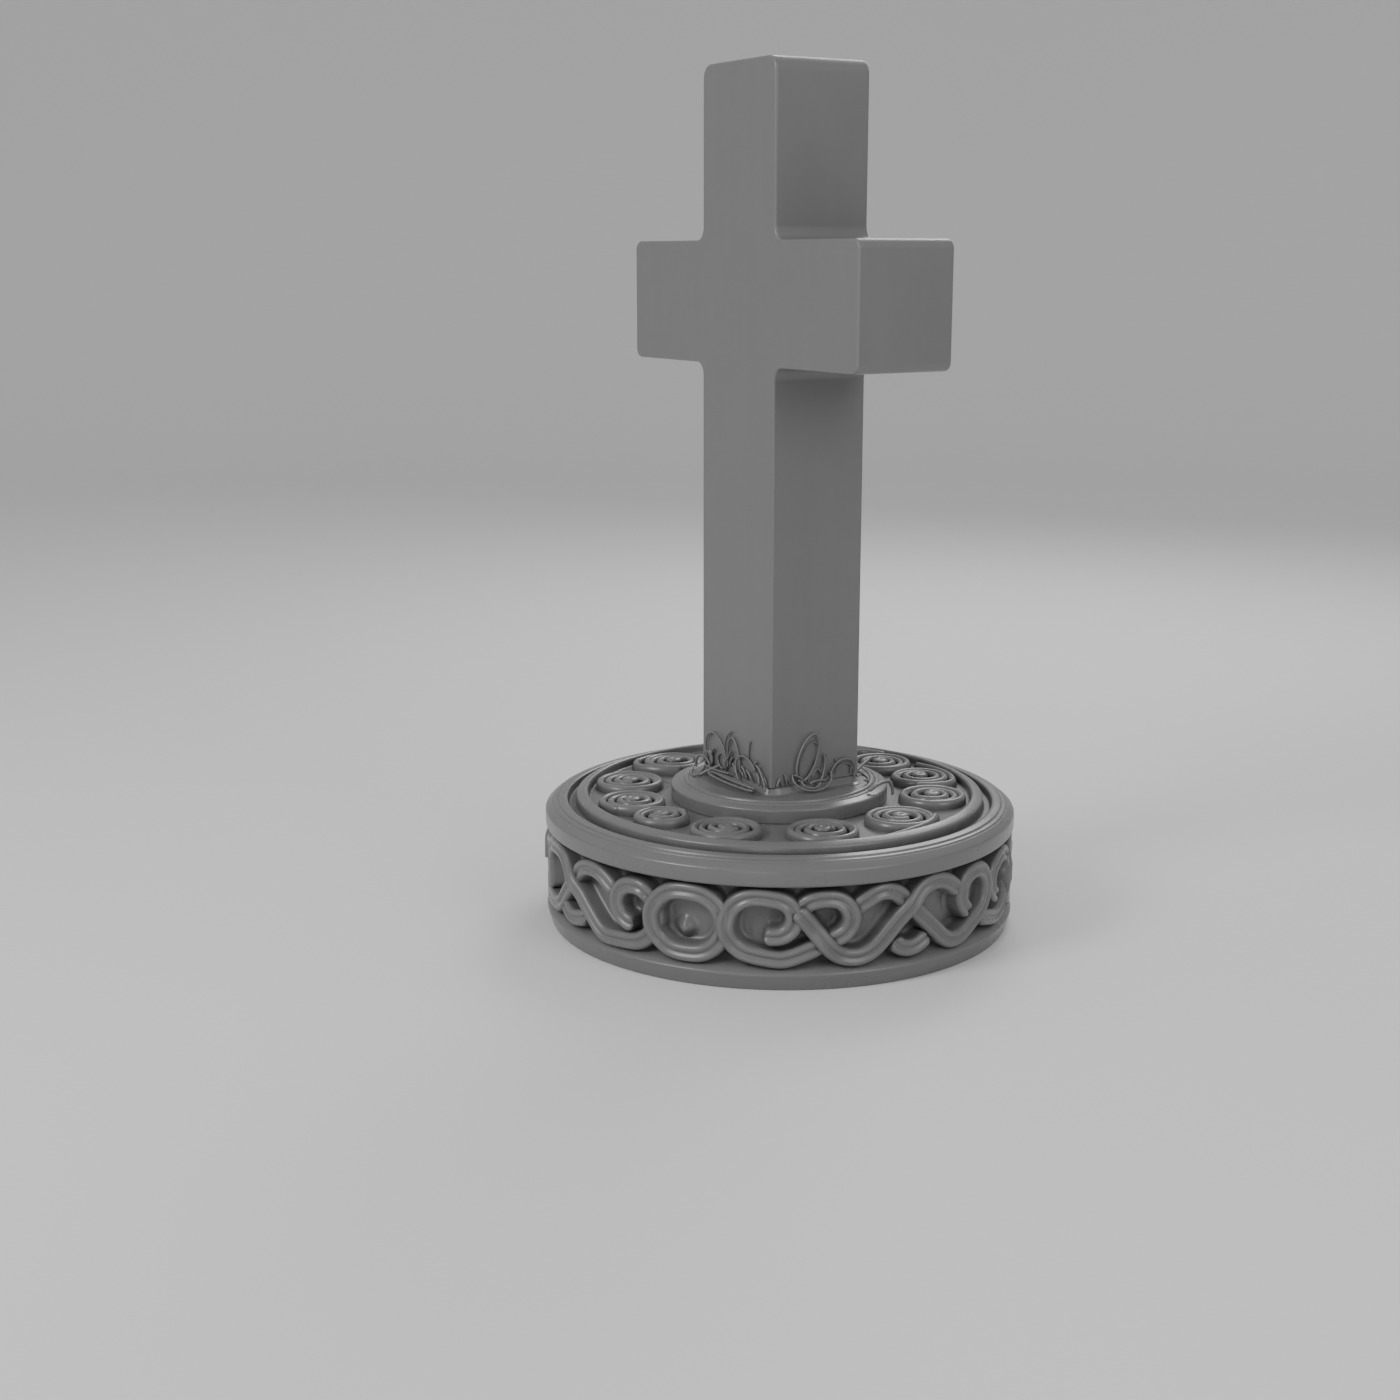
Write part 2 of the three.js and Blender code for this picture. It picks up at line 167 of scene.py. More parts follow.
def wind(pegs: Sequence[Peg], step: float) -> Line:
    """Winds a strand round pegs, with straight runs between them.

    Args:
        pegs: The pegs in order. The first and the last are the strand's two ends.
        step: The distance between points of the line.

    Returns:
        The middle of the strand.
    """
    rho = [peg.radius * peg.turn.value for peg in pegs]
    headings = []
    for i in range(1, len(pegs)):
        dx = pegs[i].x - pegs[i - 1].x
        dy = pegs[i].y - pegs[i - 1].y
        sine = max(-1.0, min(1.0, (rho[i] - rho[i - 1]) / math.hypot(dx, dy)))
        headings.append(math.atan2(dy, dx) - math.asin(sine))
    points = [(pegs[0].x, pegs[0].y, headings[0])]

    def straight_to(x: float, y: float, heading: float) -> None:
        """Adds the points of a straight run up to x, y.

        Args:
            x: Where the run ends, along the sheet.
            y: Where it ends, up the sheet.
            heading: Its direction in radians.
        """
        from_x, from_y, _ = points[-1]
        gap = math.hypot(x - from_x, y - from_y)
        if gap < 0.25 * step:
            return
        pieces = max(1, round(gap / step))
        for k in range(1, pieces + 1):
            share = k / pieces
            points.append((from_x + (x - from_x) * share, from_y + (y - from_y) * share, heading))

    for i in range(1, len(pegs) - 1):
        sense = pegs[i].turn.value
        sweep = sense * ((headings[i] - headings[i - 1]) * sense % math.tau)
        steps = max(1, round(abs(sweep * rho[i]) / step))
        for k in range(steps + 1):
            heading = headings[i - 1] + sweep * k / steps
            straight_to(
                pegs[i].x + math.sin(heading) * rho[i],
                pegs[i].y - math.cos(heading) * rho[i],
                heading,
            )
    if math.hypot(pegs[-1].x - points[-1][0], pegs[-1].y - points[-1][1]) < 0.25 * step:
        points.pop()
    straight_to(pegs[-1].x, pegs[-1].y, headings[-1])
    x, y, heading = np.array(points).T
    return Line(x, y, heading)


def stretches(line: Line) -> list[tuple[int, int]]:
    """Cuts a line where it has turned by half a circle, so that no stretch meets itself.

    Args:
        line: The middle of a strand.

    Returns:
        The first and last point of each stretch.
    """
    cuts = [0]
    change = np.diff(line.heading)
    change = np.arctan2(np.sin(change), np.cos(change))
    heading = least = most = 0.0
    for i, turn in enumerate(change):
        heading += turn
        least, most = min(least, heading), max(most, heading)
        if most - least > math.pi:
            cuts.append(i)
            heading, least, most = turn, min(0.0, turn), max(0.0, turn)
    cuts.append(len(line.x) - 1)
    return list(zip(cuts[:-1], cuts[1:]))


@dataclass
class Shell:
    """A closed surface: points in millimetres and faces as rows of point numbers."""

    points: np.ndarray
    faces: list[Sequence[int]]

    def turned(self, angle: float) -> "Shell":
        """The same surface turned about the vertical axis by an angle in radians.

        Args:
            angle: The turn in radians, anticlockwise from above.

        Returns:
            The turned surface.
        """
        c, s = math.cos(angle), math.sin(angle)
        turn = np.array([[c, s, 0.0], [-s, c, 0.0], [0.0, 0.0, 1.0]])
        return Shell(self.points @ turn, self.faces)

    def body(self, name: str) -> bpy.types.Object:
        """Makes a Blender object of the surface, in metres, with its faces looking out.

        Args:
            name: The name of the object.

        Returns:
            The object, linked to the scene.
        """
        mesh = bpy.data.meshes.new(name)
        mesh.from_pydata((self.points * MM).tolist(), [], [list(f) for f in self.faces])
        work = bmesh.new()
        work.from_mesh(mesh)
        if work.calc_volume(signed=True) < 0:
            bmesh.ops.reverse_faces(work, faces=work.faces)
        work.to_mesh(mesh)
        work.free()
        made = bpy.data.objects.new(name, mesh)
        bpy.context.scene.collection.objects.link(made)
        return made


def tube(rings: np.ndarray, endless: bool = False) -> Shell:
    """Skins closed rings of points, and shuts the two ends or joins them.

    Args:
        rings: Points as an array of rings, points in a ring, and coordinates.
        endless: True where the last ring runs on to the first.

    Returns:
        The closed surface.
    """
    count, around, _ = rings.shape
    faces: list[Sequence[int]] = []
    for i in range(count if endless else count - 1):
        low, high = i * around, (i + 1) % count * around
        for j in range(around):
            k = (j + 1) % around
            faces.append((low + j, low + k, high + k, high + j))
    if not endless:
        faces.append(tuple(range(around))[::-1])
        faces.append(tuple(range((count - 1) * around, count * around)))
    return Shell(rings.reshape(-1, 3), faces)


def turned(profile: np.ndarray, facets: int) -> Shell:
    """A solid of revolution about the vertical axis.

    Args:
        profile: Radius and height of each point, from the axis round to the axis again.
        facets: The number of facets round.

    Returns:
        The closed surface.
    """
    inner = profile[1:-1]
    angles = np.arange(facets) * math.tau / facets
    ring = np.stack([np.cos(angles), np.sin(angles)], axis=1)
    rows = inner[:, None, :1] * ring[None]
    levels = np.broadcast_to(inner[:, None, 1:], (len(inner), facets, 1))
    points = np.concatenate([rows, levels], axis=2).reshape(-1, 3)
    faces: list[Sequence[int]] = []
    for i in range(len(inner) - 1):
        for j in range(facets):
            k = (j + 1) % facets
            low, high = i * facets, (i + 1) * facets
            faces.append((low + j, low + k, high + k, high + j))
    foot, top = len(points), len(points) + 1
    points = np.vstack([points, [0, 0, profile[0, 1]], [0, 0, profile[-1, 1]]])
    last = (len(inner) - 1) * facets
    for j in range(facets):
        k = (j + 1) % facets
        faces.append((foot, k, j))
        faces.append((top, last + j, last + k))
    return Shell(points, faces)


def softened(corners: Sequence[tuple[float, float, float]], closed: bool = False) -> np.ndarray:
    """Rounds the corners of an outline.

    Args:
        corners: Points as two coordinates and the radius that rounds them.
        closed: True where the outline runs on from its last corner to its first.

    Returns:
        The points of the rounded outline.
    """
    points: list[np.ndarray] = []
    count = len(corners)
    for i, (x, y, radius) in enumerate(corners):
        here = np.array([x, y])
        if radius <= 0 or (not closed and i in (0, count - 1)):
            points.append(here)
            continue
        back = np.array(corners[i - 1][:2]) - here
        ahead = np.array(corners[(i + 1) % count][:2]) - here
        back_length, ahead_length = np.linalg.norm(back), np.linalg.norm(ahead)
        back, ahead = back / back_length, ahead / ahead_length
        half = math.acos(max(-1.0, min(1.0, float(back @ ahead)))) / 2
        reach = min(radius / math.tan(half), 0.49 * back_length, 0.49 * ahead_length)
        true_radius = reach * math.tan(half)
        middle = back + ahead
        centre = here + middle / np.linalg.norm(middle) * (true_radius / math.sin(half))
        start, end = here + back * reach - centre, here + ahead * reach - centre
        first = math.atan2(start[1], start[0])
        sweep = math.atan2(start[0] * end[1] - start[1] * end[0], start @ end)
        pieces = max(2, math.ceil(abs(sweep) / math.radians(17)))
        for k in range(pieces + 1):
            angle = first + sweep * k / pieces
            points.append(centre + true_radius * np.array([math.cos(angle), math.sin(angle)]))
    return np.array(points)


def fused(first: bpy.types.Object, second: bpy.types.Object) -> bpy.types.Object:
    """Joins the second body to the first as one solid and returns the first.

    Args:
        first: The body that is kept.
        second: The body that is joined to it and then removed.

    Returns:
        The first body, with both forms in it.
    """
    join = first.modifiers.new("join", "BOOLEAN")
    join.operation = "UNION"
    join.solver = "MANIFOLD"
    join.object = second
    graph = bpy.context.evaluated_depsgraph_get()
    joined = bpy.data.meshes.new_from_object(first.evaluated_get(graph))
    first.modifiers.clear()
    old = first.data
    first.data = joined
    bpy.data.meshes.remove(old)
    spent = second.data
    bpy.data.objects.remove(second)
    bpy.data.meshes.remove(spent)
    return first


def united(name: str, shells: Sequence[Shell]) -> bpy.types.Object:
    """Joins closed surfaces into one solid.

    Args:
        name: The name of the body that is made.
        shells: The surfaces, each closed and clear of itself.

    Returns:
        The body.
    """
    bodies = [shell.body(f"{name}_{i}") for i, shell in enumerate(shells)]
    while len(bodies) > 1:
        odd = bodies[-1:] if len(bodies) % 2 else []
        bodies = [fused(a, b) for a, b in zip(bodies[::2], bodies[1::2])] + odd
    bodies[0].name = name
    return bodies[0]


def smoothed(body: bpy.types.Object, crease: float) -> None:
    """Shades a body smoothly apart from edges sharper than the crease, in degrees.

    Args:
        body: The body to shade.
        crease: Edges sharper than this many degrees stay sharp.
    """
    work = bmesh.new()
    work.from_mesh(body.data)
    limit = math.radians(crease)
    for face in work.faces:
        face.smooth = True
    for edge in work.edges:
        edge.smooth = len(edge.link_faces) == 2 and edge.calc_face_angle(0.0) < limit
    work.to_mesh(body.data)
    work.free()


@dataclass
class Plinth:
    """The drum: base edge, carved wall, moulded rim, raised ring and recessed top.

    Sizes are millimetres. Levels are above the ground.
    """

    rim_radius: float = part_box("plinth")[1].x / MM
    ground_inset: float = 8.5
    base_edge: float = 27.0
    base_slope: float = 20.0
    carving_depth: float = 31.0
    wall_height: float = 119.5
    rim_height: float = 25.5
    rim_slope_width: float = 14.0
    rim_slope_rise: float = 17.0
    ledge_width: float = 22.5
    groove_width: float = 16.5
    groove_depth: float = 12.0
    ring_width: float = 20.5
    ring_rise: float = 16.5
    ring_fall: float = 7.0
    recess_drop: float = 3.0
    facets: int = 240

    @property
    def wall_foot(self) -> float:
        """Level at which the carved wall starts."""
        return self.base_edge + self.base_slope

    @property
    def rim_underside(self) -> float:
        """Level of the underside of the rim."""
        return self.wall_foot + self.wall_height

    @property
    def rim_edge(self) -> float:
        """Level of the upper edge of the rim's upright face."""
        return self.rim_underside + self.rim_height

    @property
    def rim_top(self) -> float:
        """Level of the ledge inside the rim's slope."""
        return self.rim_edge + self.rim_slope_rise

    @property
    def recess_level(self) -> float:
        """Level of the recessed top."""
        return self.rim_top - self.recess_drop

    @property
    def wall_radius(self) -> float:
        """Radius of the floor of the carving."""
        return self.rim_radius - self.carving_depth

    @property
    def ring_inner_radius(self) -> float:
        """Inner radius of the raised ring."""
        inset = self.rim_slope_width + self.ledge_width + self.groove_width + self.ring_width
        return self.rim_radius - inset

    def profile(self) -> np.ndarray:
        """The outline that is turned, from the axis below to the axis above.

        Returns:
            Points as radius and height, in millimetres.
        """
        rim, wall = self.rim_radius, self.wall_radius
        slope_inner = rim - self.rim_slope_width
        ledge_inner = slope_inner - self.ledge_width
        ring_outer = ledge_inner - self.groove_width
        ring_inner = self.ring_inner_radius
        top, recess = self.rim_top, self.recess_level
        corners = [
            (0, 0, 0),
            (rim - self.ground_inset, 0, 2),
            (rim, self.base_edge, 4),
            (wall + 8, self.wall_foot - 4, 6),
            (wall, self.wall_foot + 6, 8),
            (wall, self.rim_underside - 1, 7),
            (wall + 16, self.rim_underside, 10),
            (rim, self.rim_underside, 5),
            (rim, self.rim_edge + 1, 6),
            (slope_inner + 2, top - 6.5, 1.5),
            (slope_inner + 0.5, top - 7.5, 0.8),
            (slope_inner - 1.5, top - 4.5, 1.2),
            (slope_inner - 6.5, top - 3.5, 1.2),
            (slope_inner - 7.5, top - 4.5, 0.8),
            (slope_inner - 9.5, top - 1.2, 1.2),
            (ledge_inner + 4, top + 0.6, 3),
            (ledge_inner - 1, top - 0.6, 3),
            (ledge_inner - 3.5, top - self.groove_depth, 3.5),
            (ring_outer + 1, top - self.groove_depth, 4),
            (ring_outer - 0.5, recess + self.ring_rise - self.ring_fall, 5),
            (ring_inner + 2, recess + self.ring_rise, 5),
            (ring_inner - 0.5, recess, 4),
            (0, recess, 0),
        ]
        return softened(corners)

    def drum(self) -> Shell:
        """The turned body of the plinth."""
        return turned(self.profile(), self.facets)


@dataclass
class RibbonBand:
    """The interlaced ribbons on the wall of the plinth.

    Sizes are millimetres. A strand's pegs are given as the angle round the drum in degrees, then
    height and radius as shares of the rise from the low rail to the high one. A strand earlier in
    the list passes over a later one, but a strand always ends underneath. The pattern of half the
    band comes twice round the drum.
    """

    plinth: Plinth
    front_direction: float = -33.5
    half_width: float = 14.3
    crest: float = 29.0
    groove: float = 3.8
    shoulder: float = 8.5
    flare: float = 7.0
    ease: float = 7.5
    base_lap: float = 11.6
    rim_clearance: float = 3.2
    lift: float = 5.0
    reach: float = 34.0
    step: float = 5.2
    tip_radius: float = 9.0
    depth: float = 4.0
    rings: tuple[float, float] = (-21.3, 84.2)
    lines: list[Line] = field(default_factory=list)

    @property
    def sheet_radius(self) -> float:
        """Radius of the sheet on which the strands are drawn."""
        return self.plinth.wall_radius + self.crest / 2

    @property
    def low_rail(self) -> float:
        """Level of the middle of a ribbon that runs along the foot of the wall."""
        return self.plinth.wall_foot + self.half_width - self.base_lap

    @property
    def rail_rise(self) -> float:
        """Rise from the low rail to the high one, under the rim."""
        return self.plinth.rim_underside - self.half_width - self.rim_clearance - self.low_rail

    def strands(self) -> list[list[tuple[float, float, float, Turn]]]:
        """The strands of half the band, from the one on top down.

        The pegs are the result of a least-squares fit to points read off the photograph.

        Returns:
            For each strand its pegs, as place, level, radius and turn.
        """
        end, left, right = Turn.END, Turn.ANTICLOCKWISE, Turn.CLOCKWISE
        climber = [
            (4.4, 0.8, 0, end),
            (17.9, 0.507, 0.525, left),
            (39.4, 0.549, 0.489, right),
            (47.1, 0.778, 0, end),
        ]
        middle_scroll = [
            (-3.0, 0.369, 0, end),
            (-0.5, 0.659, 0.303, left),
            (-4.9, 0.529, 0.473, left),
            (0.6, 0.427, 0.435, left),
            (12.1, 0.633, 0.335, left),
            (9.6, 0.642, 0.3225, left),
            (5.3, 0.62, 0, end),
        ]
        left_scroll = [
            (-77.0, 0.148, 0, end),
            (-72.5, 0.641, 0.359, right),
            (-66.8, 0.661, 0.352, right),
            (-43.9, 0.31, 0.348, left),
            (-36.6, 0.489, 0.486, left),
            (-36.0, 0.613, 0.324, left),
            (-35.6, 0.29, 0, end),
        ]
        left_climber = [
            (-88.0, 0.697, 0, end),
            (-79.0, 0.373, 0.38, left),
            (-69.9, 0.388, 0.363, left),
            (-49.6, 0.41, 0.6, right),
            (-41.5, 0.772, 0, end),
        ]
        right_scroll = [
            (17.4, 0.735, 0, end),
            (25.1, 0.616, 0.4055, right),
            (46.1, 0.384, 0.4225, left),
            (53.9, 0.617, 0.389, left),
            (52.7, 0.658, 0.311, left),
            (51.3, 0.341, 0, end),
        ]
        end_scroll = [
            (56.5, 0.148, 0, end),
            (65.8, 0.61, 0.6155, left),
            (69.7, 0.5745, 0.418, left),
            (66.6, 0.63, 0.287, left),
            (66.3, 0.345, 0, end),
        ]
        left_tie = [(-63.9, 0.148, 0, end), (-58.7, 0.366, 0.3535, left), (-52.5, 0.12, 0, end)]
        right_tie = [(27.5, 0.176, 0, end), (32.0, 0.366, 0.352, left), (37.0, 0.162, 0, end)]
        return [
            climber,
            middle_scroll,
            self.ring(self.rings[0]),
            self.ring(self.rings[1]),
            left_scroll,
            left_climber,
            right_scroll,
            end_scroll,
            left_tie,
            right_tie,
        ]

    def ring(self, centre: float) -> list[tuple[float, float, float, Turn]]:
        """A closed oval that meets itself on its right side.

        Args:
            centre: The angle of its middle round the drum, in degrees.

        Returns:
            The pegs that it runs round.
        """
        spread, radius, level = 1.5, 0.5, 0.5
        reach = centre + spread + math.degrees(radius * self.rail_rise / self.sheet_radius)
        right = (centre + spread, level, radius, Turn.ANTICLOCKWISE)
        left = (centre - spread, level, radius, Turn.ANTICLOCKWISE)
        end = (reach, level, 0, Turn.END)
        return [end, right, left, right, end]

    def draw(self) -> None:
        """Draws the middle line of each strand on the flat sheet."""
        for strand in self.strands():
            pegs = [
                Peg(
                    math.radians(angle) * self.sheet_radius,
                    self.low_rail + height * self.rail_rise,
                    radius * self.rail_rise,
                    turn,
                )
                for angle, height, radius, turn in strand
            ]
            line = wind(pegs, self.step).eased(self.ease, self.step)
            self.lines.append(line if line.closed else line.tipped(self.tip_radius))

    def meetings(self, a: Line, b: Line, shift: float) -> list[tuple[float, float]]:
        """Finds where two strands cross or run close.

        Args:
            a: One strand.
            b: The other strand, which may be the same one.
            shift: How far the other strand is moved along the sheet.

        Returns:
            The run along each strand at every meeting.
        """
        apart = np.hypot(a.x[:, None] - b.x[None] - shift, a.y[:, None] - b.y[None])
        run_a, run_b = a.run, b.run
        if a is b and shift == 0:
            near = np.abs(run_a[:, None] - run_b[None]) < 3 * self.half_width
            apart = np.where(near | (run_a[:, None] > run_b[None]), np.inf, apart)
        nearest = apart.min(axis=1)
        found: list[tuple[float, float]] = []
        for i in np.argsort(nearest):
            if nearest[i] > self.half_width / 2:
                break
            if all(abs(run_a[i] - known) > self.reach / 2 for known, _ in found):
                found.append((run_a[i], run_b[int(apart[i].argmin())]))
        return found

    def levels(self) -> list[np.ndarray]:
        """Works out over and under.

        Returns:
            For each strand, how far it is lifted or sunk at each point.
        """
        marks: list[list[tuple[float, float]]] = [[] for _ in self.lines]
        half_round = math.pi * self.sheet_radius
        for i, a in enumerate(self.lines):
            for j in range(i, len(self.lines)):
                b = self.lines[j]
                shifts = [0.0] if i == j else [-half_round, 0.0, half_round]
                for run_a, run_b in [m for s in shifts for m in self.meetings(a, b, s)]:
                    end_a = min(run_a, a.run[-1] - run_a) < self.reach
                    end_b = min(run_b, b.run[-1] - run_b) < self.reach
                    over = 1 if end_a == end_b or end_b else -1
                    marks[i].append((run_a, over * self.lift))
                    marks[j].append((run_b, -over * self.lift))
        levels = []
        for line, known in zip(self.lines, marks):
            total = np.zeros(len(line.x))
            for at, lift in known:
                near = np.minimum(np.abs(line.run - at) / self.reach, 1.0)
                total += lift * np.cos(near * math.pi / 2) ** 2
            levels.append(np.clip(total, -self.lift, self.lift))
        return levels

    def section(self) -> np.ndarray:
        """Half of a ribbon's section as distance from its middle and height, from the groove out.

        Returns:
            The points of one half, in millimetres.
        """
        reed = self.half_width / 2
        inner = [
            (reed * share, self.crest - self.groove * math.cos(share * math.pi / 2) ** 2.4)
            for share in (0.0, 0.16, 0.36, 0.62, 1.0)
        ]
        outer = [
            (reed + reed * math.sin(a), self.crest - self.shoulder * (1 - math.cos(a)))
            for a in np.linspace(0, math.pi / 2, 5)[1:]
        ]
        flank = self.half_width + 0.8
        flare = [
            (flank + self.flare * (1 - math.cos(a)), self.flare * (1 - math.sin(a)))
            for a in np.linspace(0, math.pi / 2, 4)
        ]
        foot = [(flank + self.flare, -self.depth)]
        return np.array(inner + outer + flare + foot)

    def carve(self, line: Line, level: np.ndarray, first: int, last: int) -> Shell:
        """Carries the section along one stretch of a strand.

        Args:
            line: The whole strand.
            level: How far it is lifted at each point.
            first: The stretch's first point.
            last: The stretch's last point.

        Returns:
            The closed surface of the stretch.
        """
        half = self.section()
        across = np.concatenate([-half[::-1, 0], half[1:, 0]])
        height = np.concatenate([half[::-1, 1], half[1:, 1]])
        run = line.run
        near_end = np.minimum(run, run[-1] - run)
        short = np.clip(self.tip_radius - near_end, 0, self.tip_radius)
        inset = self.tip_radius - np.sqrt(self.tip_radius**2 - short**2)
        if line.closed:
            inset = np.zeros(len(run))
        part = slice(first, last + 1)
        inset, rise = inset[part, None], level[part, None]
        narrower = 1 - inset / self.half_width
        raised = np.clip(height / self.crest, 0, 1)[None]
        wide = across[None] * narrower
        high = height[None] + raised * (rise - 0.7 * inset)
        x = line.x[part, None] - np.sin(line.heading[part, None]) * wide
        y = line.y[part, None] + np.cos(line.heading[part, None]) * wide
        return tube(self.on_wall(x, y, high))

    def on_wall(self, x: np.ndarray, y: np.ndarray, height: np.ndarray) -> np.ndarray:
        """Bends the flat sheet round the drum.

        Args:
            x: The way along the sheet.
            y: The level.
            height: How far the point stands off the wall.

        Returns:
            The points in space, in millimetres.
        """
        angle = math.radians(self.front_direction) + x / self.sheet_radius
        radius = self.plinth.wall_radius + height
        return np.stack([radius * np.cos(angle), radius * np.sin(angle), y], axis=-1)

    def boss(self) -> Shell:
        """The soft four-sided boss inside the ring, a little left of its middle and below it.

        Returns:
            Its closed surface.
        """
        side, rise, sideways, share, facets = 24.0, 13.5, -1.2, 0.36, 32
        centre_x = math.radians(self.rings[0] + sideways) * self.sheet_radius
        centre_y = self.low_rail + share * self.rail_rise
        angles = np.arange(facets) * math.tau / facets
        square = 1 / (np.abs(np.cos(angles)) ** 1.5 + np.abs(np.sin(angles)) ** 1.5) ** (1 / 1.5)
        rows = [(1.0, -self.depth), (1.0, 0.0)]
        for inward in (0.18, 0.34, 0.48, 0.6, 0.71, 0.81, 0.9):
            rows.append((1 - inward, rise * math.sin(inward * math.pi / 2) ** 2))
        rings = []
        for spread, height in rows:
            x = centre_x + side * spread * square * np.cos(angles)
            y = centre_y + side * spread * square * np.sin(angles)
            rings.append(self.on_wall(x, y, np.full(facets, height)))
        return tube(np.array(rings))

    def shells(self) -> list[Shell]:
        """The surfaces of half the band.

        Returns:
            Closed surfaces, one for each stretch and one for the boss.
        """
        self.draw()
        made = []
        for line, level in zip(self.lines, self.levels()):
            made += [self.carve(line, level, first, last) for first, last in stretches(line)]
        return made + [self.boss()]


@dataclass
class CoiledDiscs:
    """The ring of coiled discs on the recessed top.

    A disc is a closed ring with a cord that leaves it and winds in to a small knot with a pit. It
    is given as its angle round the top in degrees, its radius as a share of the recess, the hand of
    its coil, and the angle at which the cord leaves the ring. Loose cords run from disc to disc.
    """

    plinth: Plinth
    socle_radius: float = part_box("socle")[1].x / MM
    front_direction: float = -33.5
    shift: float = 6.5
    pitch: float = 15.6
    half_width: float = 7.3
    foot: float = 0.35
    height: float = 17.0
    dish: float = 1.5
    knot_radius: float = 14.0
    knot_overlap: float = 4.5
    pit_depth: float = 4.5
    step: float = 4.0
    depth: float = 3.0

    @property
    def recess_width(self) -> float:
        """Width of the recess between the socle and the raised ring."""
        return self.plinth.ring_inner_radius - self.socle_radius

    @property
    def circle_radius(self) -> float:
        """Radius of the circle on which the discs stand."""
        return (self.plinth.ring_inner_radius + self.socle_radius) / 2 + self.shift

    def discs(self) -> list[tuple[float, float, Turn, float]]:
        """The discs from the left of the front round to the back.

        Returns:
            For each its angle, radius, hand and where the cord leaves.
        """
        left, right = Turn.ANTICLOCKWISE, Turn.CLOCKWISE
        return [
            (-133.3, 0.385, left, 200),
            (-98.2, 0.415, right, 60),
            (-70.0, 0.4, left, -60),
            (-47.0, 0.33, left, 120),
            (-18.6, 0.415, right, 30),
            (15.6, 0.415, left, 150),
            (49.0, 0.415, right, -60),
            (82.5, 0.405, right, 90),
            (110.0, 0.36, left, -90),
            (136.0, 0.395, right, 60),
            (163.5, 0.385, left, 0),
            (-167.0, 0.385, right, 180),
        ]

    def centre(self, angle: float) -> tuple[float, float]:
        """The middle of the disc that stands at an angle."""
        turn = math.radians(self.front_direction + angle)
        return self.circle_radius * math.cos(turn), self.circle_radius * math.sin(turn)

    def loose_cords(self) -> list[tuple[float, list[tuple[float, float]]]]:
        """The cords between discs.

        Returns:
            For each, how thin its far end is, and its points as the angle round the top in degrees
            and the way across the recess, from 0 at the socle to 1 at the raised ring.
        """
        between_left_discs = [
            (-63, 0.83), (-59.5, 0.7), (-56.5, 0.53), (-53.5, 0.38), (-48.5, 0.27), (-43, 0.25)
        ]
        along_front_ring = [(58, 0.84), (50, 0.93), (41, 0.94), (33, 0.94), (24, 0.95)]
        hook = [(96.5, 0.36), (96.5, 0.62), (100, 0.84), (108, 0.93), (118, 0.92), (127, 0.86)]
        left_hook = [(-125.5, 0.2), (-120, 0.42), (-119.5, 0.7), (-123.5, 0.88), (-130, 0.93), (-136, 0.92)]
        right_back = [(141, 0.88), (150, 0.92), (156, 0.8)]
        return [
            (1.0, between_left_discs),
            (0.35, along_front_ring),
            (0.85, hook),
            (0.85, left_hook),
            (0.7, right_back),
        ]

    def spiral(self, angle: float, share: float, hand: Turn, leaves: float) -> Line:
        """The middle of the cord that winds out from the knot to the ring, one pitch a turn.

        Args:
            angle: The disc's angle round the top, in degrees.
            share: Its radius as a share of the recess.
            hand: Which way the coil winds.
            leaves: The angle at which the cord leaves the ring, in degrees.

        Returns:
            The line, from the knot outwards.
        """
        cx, cy = self.centre(angle)
        outer = share * self.recess_width - self.half_width
        inner = self.knot_radius + self.half_width - self.knot_overlap
        last = math.radians(self.front_direction + angle + leaves)
        length = math.pi * (outer**2 - inner**2) / self.pitch
        share_of_length = np.linspace(0, 1, round(length / self.step))
        reach = np.sqrt(inner**2 + (outer**2 - inner**2) * share_of_length)
        a = last - hand.value * (outer - reach) / self.pitch * math.tau
        return Line(cx + reach * np.cos(a), cy + reach * np.sin(a), a + hand.value * math.pi / 2)

    def ring(self, angle: float, share: float) -> Shell:
        """The closed ring round a disc.

        Args:
            angle: The disc's angle round the top, in degrees.
            share: Its radius as a share of the recess.

        Returns:
            Its closed surface.
        """
        cx, cy = self.centre(angle)
        section = self.section()
        radius = share * self.recess_width - self.half_width
        a = np.arange(0, math.tau, self.step / radius)[:-1, None]
        reach = radius + section[None, :, 0]
        high = section[:, 1] * np.where(section[:, 1] > 0, 1 - self.dish / self.height, 1)
        level = np.broadcast_to(high + self.plinth.recess_level, (len(a), len(section)))
        return tube(np.stack([cx + reach * np.cos(a), cy + reach * np.sin(a), level], axis=-1), True)

    def section(self) -> np.ndarray:
        """A cord's section as distance from its middle and height above the recess.

        Returns:
            The points of the section, in millimetres.
        """
        upper = [
            (self.half_width * math.cos(a), self.height * (0.3 + 0.7 * math.sin(a)))
            for a in np.linspace(0, math.pi, 11)
        ]
        foot = self.half_width + self.foot
        return np.array([(foot, -self.depth), (foot, 1.0)] + upper + [(-foot, 1.0), (-foot, -self.depth)])

